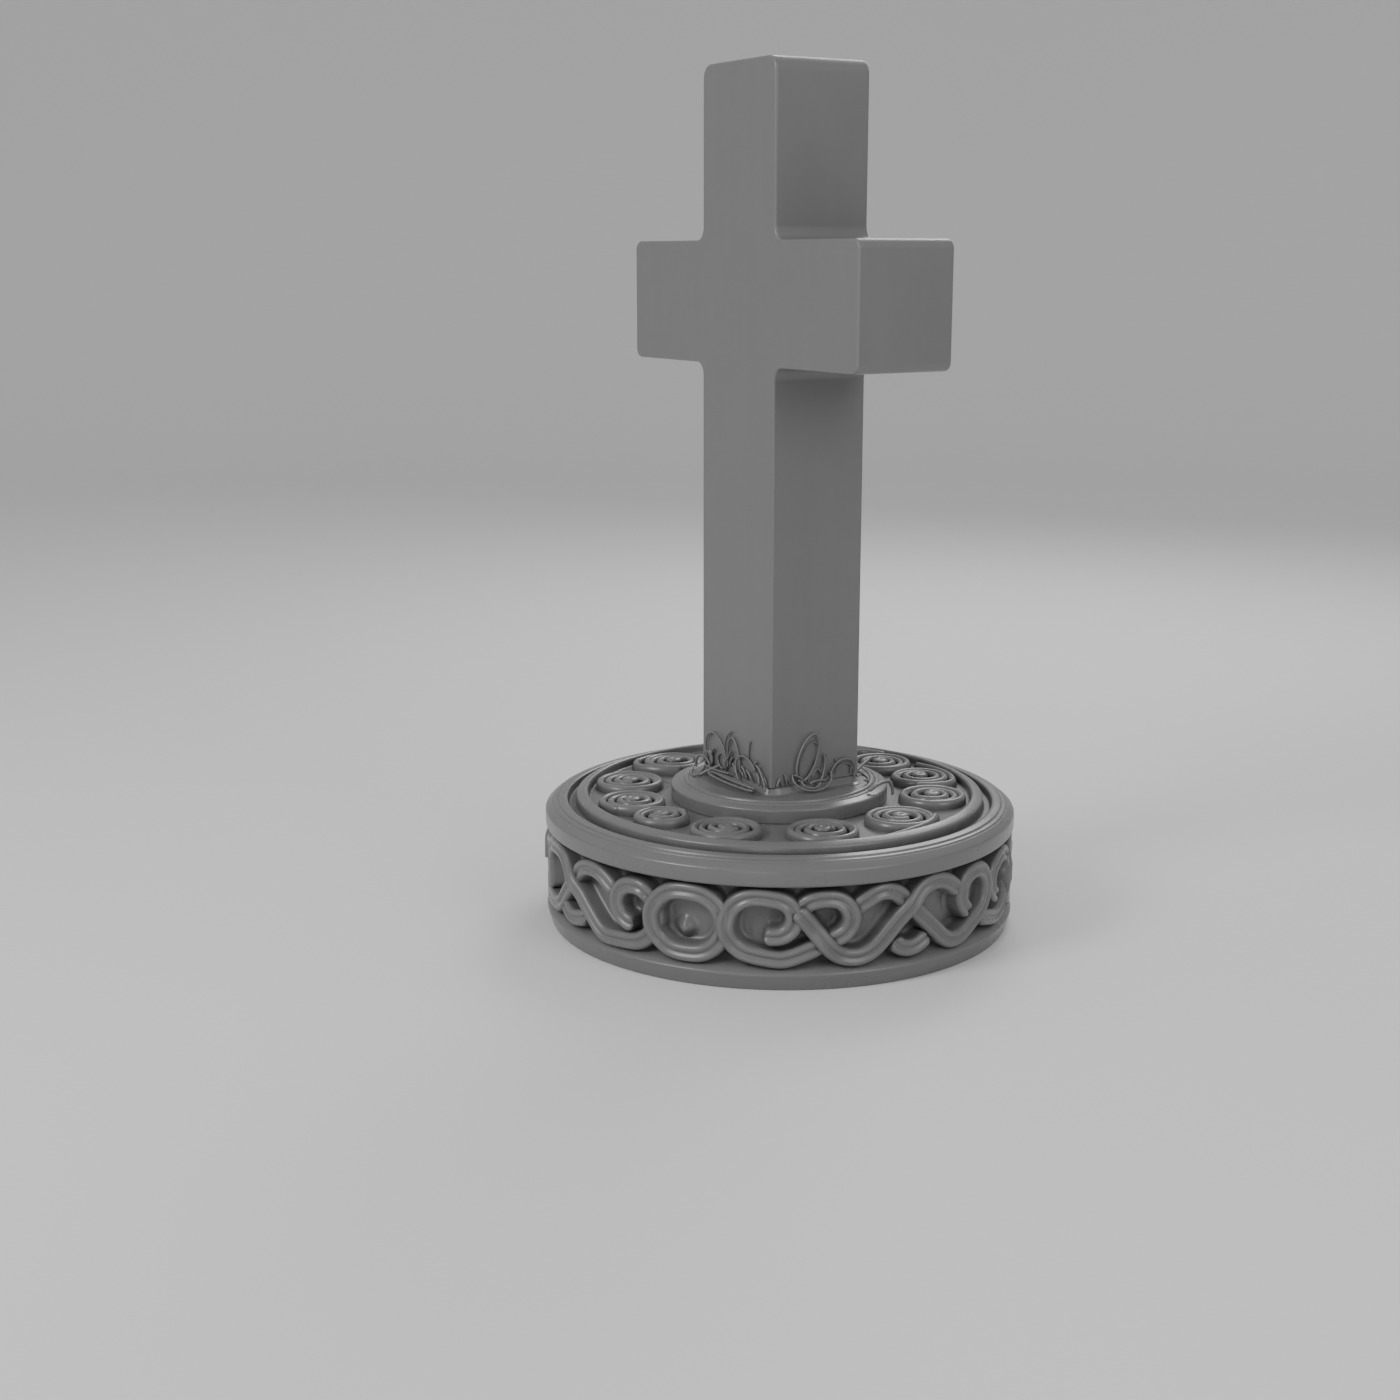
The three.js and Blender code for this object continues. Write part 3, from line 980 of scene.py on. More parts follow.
    def cord(self, line: Line, crests: tuple[float, float], blunt: float, thin: float) -> list[Shell]:
        """Carries a cord's section along a line on the recessed top.

        Args:
            line: The middle of the cord.
            crests: How far the crest is lowered at the line's start and at its end.
            blunt: The length over which each end is rounded off.
            thin: The share of its size that the cord keeps at its end.

        Returns:
            The closed surfaces of the cord's stretches.
        """
        section = self.section()
        run = line.run
        along = (run / run[-1])[:, None]
        short = np.clip(blunt - np.minimum(run, run[-1] - run), 0, blunt) / blunt
        size = (1 - (1 - thin) * along**1.5) * np.sqrt(1 - 0.75 * short**2)[:, None]
        wide = section[None, :, 0] * size
        lowered = 1 - (crests[0] + (crests[1] - crests[0]) * along) / self.height
        high = section[None, :, 1]
        high = np.where(high > 0, high * lowered * size, high)
        x = line.x[:, None] - np.sin(line.heading[:, None]) * wide
        y = line.y[:, None] + np.cos(line.heading[:, None]) * wide
        rings = np.stack([x, y, high + self.plinth.recess_level], axis=-1)
        return [tube(rings[first : last + 1]) for first, last in stretches(line)]

    def knot(self, angle: float) -> Shell:
        """The small round knot with a pit in the middle of a disc.

        Args:
            angle: The disc's angle round the top, in degrees.

        Returns:
            Its closed surface.
        """
        cx, cy = self.centre(angle)
        rise = self.height + 0.6
        bend = np.linspace(0, math.pi, 9)
        middle = self.knot_radius / 2
        lip = [
            (middle + middle * math.cos(a) * 0.98, rise - self.pit_depth * (1 - math.sin(a)))
            for a in bend
        ]
        profile = [(0.0, -self.depth), (self.knot_radius, -self.depth)] + lip + [(0.0, lip[-1][1] - 0.2)]
        made = turned(np.array(profile), 20)
        made.points = made.points + np.array([cx, cy, self.plinth.recess_level])
        return made

    def free_line(self, places: list[tuple[float, float]]) -> Line:
        """The middle of a loose cord through places on the recessed top.

        Args:
            places: Its points as the angle in degrees and the way across the recess.

        Returns:
            The line.
        """
        flat = []
        for angle, across in places:
            turn = math.radians(self.front_direction + angle)
            radius = self.socle_radius + across * self.recess_width
            flat.append((radius * math.cos(turn), radius * math.sin(turn)))
        points = through(np.array(flat), self.step)
        slope = np.gradient(points, axis=0)
        return Line(points[:, 0], points[:, 1], np.unwrap(np.arctan2(slope[:, 1], slope[:, 0])))

    def shells(self) -> list[Shell]:
        """The surfaces of all the discs and the loose cords.

        Returns:
            Closed surfaces, to be joined into one.
        """
        made = []
        for angle, share, hand, leaves in self.discs():
            made.append(self.ring(angle, share))
            made += self.cord(self.spiral(angle, share, hand, leaves), (0.4, self.dish + 1), 5.0, 0.82)
            made.append(self.knot(angle))
        for thin, places in self.loose_cords():
            made += self.cord(self.free_line(places), (-0.4, self.dish - 0.6), 6.0, thin)
        return made


@dataclass
class Socle:
    """The round stepped block with a bead near its middle and a low pad under the shaft."""

    foot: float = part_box("socle")[0].z / MM
    top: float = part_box("socle")[1].z / MM
    radius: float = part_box("socle")[1].x / MM
    height: float = 24.8
    slope_rise: float = 9.4
    bead_inset: float = 26.4
    pad_margin: float = 9.0
    pad_corner: float = 22.0
    pad_slope: float = 6.0
    shaft: tuple[float, float] = (214.0, 175.0)
    facets: int = 224

    def profile(self) -> np.ndarray:
        """The outline that is turned, from the axis below to the axis above.

        Returns:
            Points as radius and height, in millimetres.
        """
        edge = self.foot + self.height
        crown = edge + self.slope_rise
        bead = self.radius - self.bead_inset
        return softened([
            (0, self.foot, 0),
            (self.radius, self.foot, 1.5),
            (self.radius, edge - 2, 5),
            (self.radius - 5, edge, 3),
            (bead + 12.5, edge + 2.6, 2),
            (bead + 10.5, edge + 4.8, 1.2),
            (bead + 7, edge + 5.2, 1),
            (bead + 5, edge + 3.6, 0.8),
            (bead + 3, edge + 7.4, 1.5),
            (bead - 2, edge + 8.2, 1.5),
            (bead - 4, edge + 6.6, 1.2),
            (bead - 26, crown, 10),
            (0, crown, 0),
        ])

    def pad(self) -> Shell:
        """The low rectangular pad, with soft edges and a hollow slope at its foot.

        Returns:
            Its closed surface.
        """
        half_x = self.shaft[0] / 2 + self.pad_margin
        half_y = self.shaft[1] / 2 + self.pad_margin
        crown = self.foot + self.height + self.slope_rise
        rise = self.top - crown
        slope = self.pad_slope
        rows = [
            (slope + 3.0, -3.0),
            (slope + 3.0, 0.0),
            (slope * 0.55, 0.12 * rise),
            (slope * 0.25, 0.35 * rise),
            (0.0, 0.7 * rise),
            (-0.18 * slope, 0.86 * rise),
            (-0.5 * slope, 0.96 * rise),
            (-slope, rise),
        ]
        rings = []
        for grow, height in rows:
            x, y = half_x + grow - slope, half_y + grow - slope
            corner = self.pad_corner + grow
            ring = softened([(-x, -y, corner), (x, -y, corner), (x, y, corner), (-x, y, corner)], True)
            level = np.full((len(ring), 1), crown + height)
            rings.append(np.hstack([ring, level]))
        return tube(np.array(rings))


@dataclass
class Cross:
    """The cross: one stone with soft corners in its outline and a fine arris front and back."""

    foot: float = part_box("cross")[0].z / MM
    top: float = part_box("cross")[1].z / MM
    arm_span: float = (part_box("cross")[1].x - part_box("cross")[0].x) / MM
    depth: float = (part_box("cross")[1].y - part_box("cross")[0].y) / MM
    shaft_width: float = 214.0
    arm_height: float = 196.0
    head: float = 273.0
    shaft_top_radius: float = 22.0
    arm_end_radius: float = 15.0
    inner_corner_radius: float = 21.0
    arris: float = 4.0

    def outline(self, inset: float) -> np.ndarray:
        """The outline drawn in by an inset, seen from the front.

        Args:
            inset: How far it is drawn in, in millimetres.

        Returns:
            Its points, across and up.
        """
        arm_top = self.top - self.head - inset
        arm_bottom = self.top - self.head - self.arm_height + inset
        half, arm = self.shaft_width / 2 - inset, self.arm_span / 2 - inset
        inner = self.inner_corner_radius + inset
        end = self.arm_end_radius - inset
        right = [
            (half, self.foot, 0),
            (half, arm_bottom, inner),
            (arm, arm_bottom, end),
            (arm, arm_top, end),
            (half, arm_top, inner),
            (half, self.top - inset, self.shaft_top_radius - inset),
        ]
        left = [(-x, z, radius) for x, z, radius in reversed(right)]
        return softened(right + left, True)

    def shell(self) -> Shell:
        """The closed surface of the cross.

        Returns:
            The surface.
        """
        angles = np.linspace(0, math.pi / 2, 5)
        half = self.depth / 2
        front = [(self.arris * (1 - math.sin(a)), -half + self.arris * (1 - math.cos(a))) for a in angles]
        rows = front + [(inset, -y) for inset, y in reversed(front)]
        rings = []
        for inset, y in rows:
            ring = self.outline(inset)
            rings.append(np.stack([ring[:, 0], np.full(len(ring), y), ring[:, 1]], axis=1))
        return tube(np.array(rings))


@dataclass(frozen=True)
class Stem:
    """A thin round stem that follows part of an ellipse, in millimetres and degrees.

    The ellipse is given by its centre and by its half axes at 0 and at 90 degrees.
    """

    centre: tuple[float, float, float]
    half_axis: tuple[float, float, float]
    cross_axis: tuple[float, float, float]
    start: float
    end: float
    radius: float = 1.8


@dataclass
class FootStems:
    """The looped stems that lie against the foot of the shaft and over the edge of the pad."""

    socle: Socle
    step: float = 2.2
    around: int = 8
    settle: float = 2.4

    def front_left(self) -> list[Stem]:
        """The stems on the broad front face and on the pad before it.

        Returns:
            The stems.
        """
        return [
            Stem((-55, -92, 276), (33, 0, -4), (-6, 0, 36), 240, -25, 1.7),
            Stem((8, -92, 288), (37, 0, 0), (0, 0, 42), 215, 115, 1.6),
            Stem((2, -92, 268), (20, 0, -3), (-5, 0, 48), 190, 0, 1.8),
            Stem((48.5, -90, 302), (1.5, 0, 19), (-4, 0, 0), 0, 180, 1.3),
            Stem((48, -97, 266), (36, -4, -15), (9, 3, 21), 60, 345, 2.1),
            Stem((24, -112, 250), (74, -2, 1), (-4, 9, 1), 20, 350, 2.0),
            Stem((34, -108, 252), (66, -4, 2), (0, 8, -2), 185, 350, 1.8),
            Stem((-38, -100, 257), (40, 0, 1), (0, 0, -4), 180, 0, 2.0),
            Stem((88, -96, 264), (-14, 0, 22), (8, 0, 5), 5, 178, 1.8),
            Stem((68, -92, 282), (3, 0, 9), (-4, 0, -1), 0, 180, 2.0),
            Stem((-21, -94, 266), (2, 0, 8), (-2, 0, 0), 0, 180, 1.6),
            Stem((-12, -93, 285), (7, 0, 10), (0, 0, -2), 0, 180, 2.0),
            Stem((-72, -93, 269), (-4, 0, 12), (5, 0, 0), 0, 180, 2.4),
            Stem((-65, -93, 274), (5, 0, 12), (-4, 0, 0), 0, 180, 2.2),
            Stem((-88, -98, 250), (23, 0, 3), (-4, 0, 18), -10, 195, 2.0),
            Stem((-94, -104, 246), (-27, 20, 4), (10, 8, 6), 20, 340, 1.9),
            Stem((-56, -104, 250), (-10, -16, -9), (0, 0, 1), 0, 180, 2.8),
            Stem((-6, -91, 274), (4, 0, 8), (-4, 0, 0), 0, 180, 2.4),
            Stem((-96, -78, 270), (15, -10, 2), (-3, 2, 22), -30, 200, 1.7),
            Stem((-80, -92, 264), (12, -2, -10), (5, 0, 8), 0, 200, 2.2),
            Stem((-40, -91, 268), (9, 0, -9), (6, 0, 8), 150, 350, 1.8),
            Stem((-30, -91, 264), (-3, 0, 10), (2, 0, 0), 0, 180, 2.0),
            Stem((0, -91, 264), (-4, 0, 9), (3, 0, 0), 0, 180, 2.2),
            Stem((34, -92, 262), (-7, -1, 12), (4, 0, 1), 0, 180, 2.2),
            Stem((52, -94, 260), (-9, -1, 12), (5, 0, 2), 10, 170, 1.9),
            Stem((78, -94, 262), (8, -2, -9), (3, 0, 5), 0, 180, 2.2),
            Stem((94, -92, 262), (5, 0, -9), (4, 0, 3), 0, 180, 2.0),
            Stem((20, -92, 258), (14, -1, -2), (0, 0, 8), 0, 180, 1.8),
        ]

    def right_side(self) -> list[Stem]:
        """The stems on the narrow side face and on the pad beside it.

        Returns:
            The stems.
        """
        return [
            Stem((113, -18, 298), (0, 21, 8), (0, 7, 37), -100, 222, 1.8),
            Stem((111, -14, 288), (0, 18, 4), (0, 6, 34), 40, 215, 1.4),
            Stem((112, -20, 276), (-2, 18, 14), (0, 8, -9), 0, 180, 2.2),
            Stem((111, 14, 285), (0, 6, 14), (0, 3, 0), 0, 180, 1.5),
            Stem((111, 22, 262), (1, 10, 9), (0, 3, -4), 0, 180, 2.2),
            Stem((112, -16, 262), (0, 3, 9), (0, 2, 0), 0, 180, 2.0),
            Stem((111, 57, 260), (0, -19, 0), (0, 0, 18), 10, 170, 1.4),
            Stem((114, -10, 264), (0, -38, 0), (14, 0, -20), -25, 195, 1.9),
            Stem((113, 53, 262), (0, -25, 0), (0, 3, 24), -10, 205, 1.8),
            Stem((115, 5, 276), (-3, 8, 24), (0, 8, -4), 0, 180, 1.7),
            Stem((114, -34, 264), (0, -12, 8), (0, 1, 1), 0, 180, 1.9),
            Stem((116, -14, 259), (0, -19, 1), (7, 0, -12), 0, 180, 2.1),
            Stem((112, -4, 269), (0, -6, -8), (0, -1, 1), 0, 180, 2.0),
            Stem((112, 7, 269), (0, -6, 8), (0, 1, 1), 0, 180, 2.0),
            Stem((118, -1, 254), (0, -16, 0), (1, 0, 4), 0, 180, 1.9),
            Stem((110, -74, 262), (0, -3, -7), (0, 0, 0), 0, 180, 2.2),
            Stem((110, -69, 262), (0, -3, 8), (0, 0, 0), 0, 180, 2.0),
            Stem((110, -59, 265), (0, 2, -10), (0, 0, 0), 0, 180, 2.0),
            Stem((110, -54, 263), (0, 4, -7), (0, 0, 0), 0, 180, 1.8),
            Stem((109, 43, 282), (0, 4, -5), (0, 0, 0), 0, 180, 2.0),
            Stem((110, 71, 266), (0, 1, 7), (0, 0, 0), 0, 180, 1.6),
        ]

    def socle_edge(self) -> list[Stem]:
        """The thicker stems farther back on the socle.

        Returns:
            The stems.
        """
        return [
            Stem((141, 108, 232), (12, -32, 0), (4, 3, 13), -5, 185, 3.0),
            Stem((138, 133, 231), (2, 2, -12), (2, 2, 0), 180, 0, 2.6),
            Stem((40, 149, 249), (-14, 27, 6), (0, 0, 1), 180, 0, 2.6),
        ]

    def stems(self) -> list[Stem]:
        """All stems; the hidden sides repeat a few of those in front, turned half round.

        Returns:
            The stems on all four sides.
        """
        front, right = self.front_left(), self.right_side()
        hidden = [front[i] for i in (1, 2, 4, 15)] + right[7:14]
        turned_round = []
        for stem in hidden:
            places = [(-x, -y, z) for x, y, z in (stem.centre, stem.half_axis, stem.cross_axis)]
            turned_round.append(Stem(*places, stem.start, stem.end, stem.radius))
        return front + right + self.socle_edge() + turned_round

    def ground(self, x: np.ndarray, y: np.ndarray) -> np.ndarray:
        """The level of the socle's top under each place.

        Args:
            x: The places along the arms.
            y: The places across them.

        Returns:
            The levels, in millimetres.
        """
        socle = self.socle
        crown = socle.foot + socle.height + socle.slope_rise
        half_x = socle.shaft[0] / 2 + socle.pad_margin
        half_y = socle.shaft[1] / 2 + socle.pad_margin
        outside = np.maximum(np.abs(x) - half_x, np.abs(y) - half_y)
        on_pad = np.clip(1 - outside / socle.pad_slope - 0.4, 0, 1)
        reach = np.hypot(x, y)
        fall = np.clip((reach - (socle.radius - socle.bead_inset - 26)) / 24, 0, 1) * 4
        level = crown - fall + (socle.top - crown) * on_pad
        return np.where(reach > socle.radius - 4, socle.foot, level)

    def shell(self, stem: Stem) -> Shell:
        """The closed surface of one stem, with rounded ends, resting on what is under it.

        Args:
            stem: The stem to carve.

        Returns:
            The surface.
        """
        centre, first, second = (np.array(v, float) for v in (stem.centre, stem.half_axis, stem.cross_axis))
        sweep = math.radians(stem.end - stem.start)
        fine = math.radians(stem.start) + sweep * np.linspace(0, 1, 160)[:, None]
        path = centre + first * np.cos(fine) + second * np.sin(fine)
        path[:, 2] = np.maximum(path[:, 2], self.ground(path[:, 0], path[:, 1]) + 0.55 * stem.radius)
        run = np.concatenate([[0], np.cumsum(np.linalg.norm(np.diff(path, axis=0), axis=1))])
        even = np.linspace(0, run[-1], max(6, round(run[-1] / self.step)))
        path = np.stack([np.interp(even, run, path[:, k]) for k in range(3)], axis=1)
        for _ in range(2):
            path[1:-1] = path[1:-1] / 2 + (path[:-2] + path[2:]) / 4
        ahead = np.gradient(path, axis=0)
        ahead /= np.linalg.norm(ahead, axis=1)[:, None]
        run = np.linspace(0, 1, len(path)) * even[-1]
        short = np.clip(self.settle - np.minimum(run, run[-1] - run), 0, self.settle) / self.settle
        size = stem.radius * np.sqrt(1 - 0.8 * short**2)
        side = np.cross(ahead[0], (0.3, 0.5, 0.81))
        rings = []
        turn = np.arange(self.around) * math.tau / self.around
        for place, forward, radius in zip(path, ahead, size):
            side = side - forward * (side @ forward)
            side /= np.linalg.norm(side)
            other = np.cross(forward, side)
            rings.append(place + radius * (np.cos(turn)[:, None] * side + np.sin(turn)[:, None] * other))
        return tube(np.array(rings))

    def shells(self) -> list[Shell]:
        """The surfaces of all the stems."""
        return [self.shell(stem) for stem in self.stems()]


def new_group(
    name: str,
    inputs: Sequence[tuple[str, str, float]],
    outputs: Sequence[tuple[str, str]],
) -> bpy.types.ShaderNodeTree:
    """Makes an empty shader node group.

    Args:
        name: The group's name.
        inputs: Name, socket type and default of each input.
        outputs: Name and socket type of each output.

    Returns:
        The node tree, with its input and output nodes.
    """
    tree = bpy.data.node_groups.new(name, "ShaderNodeTree")
    for label, kind, default in inputs:
        socket = tree.interface.new_socket(label, in_out="INPUT", socket_type=kind)
        socket.default_value = default
    for label, kind in outputs:
        tree.interface.new_socket(label, in_out="OUTPUT", socket_type=kind)
    tree.nodes.new("NodeGroupInput")
    tree.nodes.new("NodeGroupOutput")
    return tree


class Graph:
    """A small helper that adds nodes to a tree and links them."""

    def __init__(self, tree: bpy.types.ShaderNodeTree) -> None:
        """Holds the tree that nodes are added to."""
        self.tree = tree

    def node(self, kind: str, inputs: dict | None = None, **settings: object) -> bpy.types.Node:
        """Adds a node.

        Args:
            kind: The node's type.
            inputs: Values or output sockets for its inputs, by name or number.
            **settings: Properties of the node.

        Returns:
            The node.
        """
        made = self.tree.nodes.new(kind)
        for key, value in settings.items():
            setattr(made, key, value)
        for key, value in (inputs or {}).items():
            if isinstance(value, bpy.types.NodeSocket):
                self.tree.links.new(value, made.inputs[key])
            else:
                made.inputs[key].default_value = value
        return made

    def noise(
        self, place: bpy.types.NodeSocket, scale: object, detail: float, rough: float
    ) -> bpy.types.NodeSocket:
        """A noise value over the surface.

        Args:
            place: Where the noise is read.
            scale: Its scale, as a number or a socket.
            detail: How many finer layers it has.
            rough: How strong the finer layers are.

        Returns:
            The value's socket.
        """
        inputs = {"Vector": place, "Scale": scale, "Detail": detail, "Roughness": rough}
        return self.node("ShaderNodeTexNoise", inputs).outputs["Fac"]

    def spread(
        self, value: bpy.types.NodeSocket, low: object, high: object, to_low: object, to_high: object
    ) -> bpy.types.NodeSocket:
        """Maps a value from one range to another, smoothly and within bounds.

        Args:
            value: The socket of the value.
            low: Start of the range that it comes from.
            high: End of that range.
            to_low: What the start becomes.
            to_high: What the end becomes.

        Returns:
            The mapped value's socket.
        """
        inputs = {"Value": value, "From Min": low, "From Max": high, "To Min": to_low, "To Max": to_high}
        return self.node("ShaderNodeMapRange", inputs, interpolation_type="SMOOTHSTEP").outputs["Result"]

    def maths(self, operation: str, *values: object) -> bpy.types.NodeSocket:
        """The result of a sum on values or sockets."""
        inputs = dict(enumerate(values))
        return self.node("ShaderNodeMath", inputs, operation=operation).outputs[0]

    def mixed(self, share: object, first: object, second: object) -> bpy.types.NodeSocket:
        """A colour between two colours."""
        inputs = {0: share, 6: first, 7: second}
        return self.node("ShaderNodeMix", inputs, data_type="RGBA").outputs[2]


def build_grain_group() -> bpy.types.ShaderNodeTree:
    """The grain of fine stone: clouding, speckle and the relief of its grain.

    Returns:
        The shared group.
    """
    tree = new_group(
        "stone_grain",
        [
            ("Cloud Scale", "NodeSocketFloat", 7.0),
            ("Speckle Scale", "NodeSocketFloat", 900.0),
            ("Contrast", "NodeSocketFloat", 0.2),
        ],
        [("Tone", "NodeSocketFloat"), ("Relief", "NodeSocketFloat"), ("Clouds", "NodeSocketFloat")],
    )
    graph = Graph(tree)
    given, result = tree.nodes["Group Input"], tree.nodes["Group Output"]
    place = graph.node("ShaderNodeTexCoord").outputs["Object"]
    clouds = graph.noise(place, given.outputs["Cloud Scale"], 5.0, 0.55)
    speckle = graph.noise(place, given.outputs["Speckle Scale"], 2.0, 0.6)
    mottling = graph.noise(place, graph.maths("MULTIPLY", given.outputs["Cloud Scale"], 9.0), 3.0, 0.5)
    cloudy = graph.maths("ADD", graph.maths("MULTIPLY", clouds, 0.6), graph.maths("MULTIPLY", mottling, 0.25))
    both = graph.maths("ADD", cloudy, graph.maths("MULTIPLY", speckle, 0.15))
    centred = graph.maths("SUBTRACT", both, 0.5)
    tone = graph.maths("ADD", graph.maths("MULTIPLY", centred, given.outputs["Contrast"]), 1.0)
    fine = graph.maths("MULTIPLY", speckle, 0.35)
    relief = graph.maths("ADD", fine, graph.maths("MULTIPLY", mottling, 0.65))
    tree.links.new(tone, result.inputs["Tone"])
    tree.links.new(relief, result.inputs["Relief"])
    tree.links.new(clouds, result.inputs["Clouds"])
    return tree


def build_hollow_group() -> bpy.types.ShaderNodeTree:
    """Dirt that settles in hollows together with painted shade: darker where ambient occlusion finds little
    open sky, patchy at its edge.

    Returns:
        The shared group.
    """
    tree = new_group(
        "hollow_dirt_and_shade",
        [
            ("Reach", "NodeSocketFloat", 0.03),
            ("Amount", "NodeSocketFloat", 0.5),
        ],
        [("Mask", "NodeSocketFloat")],
    )
    graph = Graph(tree)
    given, result = tree.nodes["Group Input"], tree.nodes["Group Output"]
    place = graph.node("ShaderNodeTexCoord").outputs["Object"]
    # Ambient occlusion paints shade into creases and recesses; the same mask also stands for dirt there.
    open_sky = graph.node(
        "ShaderNodeAmbientOcclusion", {"Distance": given.outputs["Reach"]}, samples=8, only_local=True
    ).outputs["AO"]
    patches = graph.noise(place, 38.0, 4.0, 0.6)
    edge = graph.maths("ADD", open_sky, graph.maths("MULTIPLY", graph.maths("SUBTRACT", patches, 0.5), 0.35))
    mask = graph.spread(edge, 0.75, 0.3, 0.0, 1.0)
    tree.links.new(graph.maths("MULTIPLY", mask, given.outputs["Amount"]), result.inputs["Mask"])
    return tree


def build_wear_group() -> bpy.types.ShaderNodeTree:
    """Edges rubbed lighter by wear.

    Returns:
        The shared group.
    """
    tree = new_group(
        "edge_wear",
        [
            ("Start", "NodeSocketFloat", 0.56),
            ("Amount", "NodeSocketFloat", 0.5),
        ],
        [("Mask", "NodeSocketFloat")],
    )
    graph = Graph(tree)
    given, result = tree.nodes["Group Input"], tree.nodes["Group Output"]
    place = graph.node("ShaderNodeTexCoord").outputs["Object"]
    sharpness = graph.node("ShaderNodeNewGeometry").outputs["Pointiness"]
    patches = graph.noise(place, 55.0, 3.0, 0.55)
    far = graph.maths("ADD", given.outputs["Start"], 0.08)
    rubbed = graph.spread(sharpness, given.outputs["Start"], far, 0.0, 1.0)
    patchy = graph.maths("MULTIPLY", rubbed, graph.spread(patches, 0.3, 0.7, 0.4, 1.0))
    tree.links.new(graph.maths("MULTIPLY", patchy, given.outputs["Amount"]), result.inputs["Mask"])
    return tree


@dataclass(frozen=True)
class StoneFinish:
    """A grey stone finish.

    Tones are linear values of a neutral grey. Gloss is told by the roughness of clean and of
    weathered stone.
    """

    name: str
    tone: float
    # The dirt tone and amount set how dark and how strongly hollows are painted, as dirt and as painted
    # shade.
    dirt_and_shade_tone: float
    worn_tone: float
    polish: float
    weathered: float
    contrast: float
    dirt_and_shade: float
    wear: float
    grain_depth: float
    cloud_scale: float
    streaks: float

    def material(self) -> bpy.types.Material:
        """Builds the material from the shared groups.

        Returns:
            The finished material.
        """
        made = bpy.data.materials.new(self.name)
        made.use_nodes = True
        tree = made.node_tree
        graph = Graph(tree)
        shader = tree.nodes["Principled BSDF"]
        grain = self.group(graph, "stone_grain", {"Cloud Scale": self.cloud_scale, "Contrast": self.contrast})
        dirt_and_shade = self.group(graph, "hollow_dirt_and_shade", {"Reach": 0.035, "Amount": self.dirt_and_shade})
        wear = self.group(graph, "edge_wear", {"Amount": self.wear})
        clean = self.grey(self.tone)
        worn = graph.mixed(wear.outputs["Mask"], clean, self.grey(self.worn_tone))
        # Hollows are darkened towards the dirt tone: partly real dirt, partly painted shade from ambient
        # occlusion.
        soiled_and_shaded = graph.mixed(dirt_and_shade.outputs["Mask"], worn, self.grey(self.dirt_and_shade_tone))
        run = self.runs(graph)
        shade = graph.maths("MULTIPLY", grain.outputs["Tone"], run)
        colour = graph.node("ShaderNodeVectorMath", {0: soiled_and_shaded, 1: shade}, operation="MULTIPLY").outputs[0]
        tree.links.new(colour, shader.inputs["Base Color"])
        gloss = graph.spread(grain.outputs["Clouds"], 0.35, 0.65, self.polish, self.weathered)
        rough = graph.maths("ADD", gloss, graph.maths("MULTIPLY", dirt_and_shade.outputs["Mask"], 0.2))
        tree.links.new(rough, shader.inputs["Roughness"])
        inputs = {"Height": grain.outputs["Relief"], "Strength": 0.5, "Distance": self.grain_depth}
        bump = graph.node("ShaderNodeBump", inputs)
        tree.links.new(bump.outputs["Normal"], shader.inputs["Normal"])
        return made

    def runs(self, graph: Graph) -> bpy.types.NodeSocket:
        """Faint upright streaks where water has run down.

        Args:
            graph: The material's node graph.

        Returns:
            A value from 0 to 1 over the surface.
        """
        place = graph.node("ShaderNodeTexCoord").outputs["Object"]
        stretched = graph.node("ShaderNodeMapping", {"Vector": place, "Scale": (1.0, 1.0, 0.06)})
        value = graph.noise(stretched.outputs["Vector"], 34.0, 4.0, 0.6)
        return graph.spread(value, 0.3, 0.7, 1.0 - self.streaks, 1.0 + self.streaks)

    @staticmethod
    def grey(tone: float) -> tuple[float, float, float, float]:
        """A neutral grey."""
        return (tone, tone, tone * 0.995, 1.0)

    @staticmethod
    def group(graph: Graph, name: str, values: dict[str, float]) -> bpy.types.Node:
        """Places a shared group and sets its inputs.

        Args:
            graph: The material's node graph.
            name: The group's name.
            values: The value of each of its inputs.

        Returns:
            The node.
        """
        placed = graph.tree.nodes.new("ShaderNodeGroup")
        placed.node_tree = bpy.data.node_groups[name]
        for key, value in values.items():
            placed.inputs[key].default_value = value
        return placed


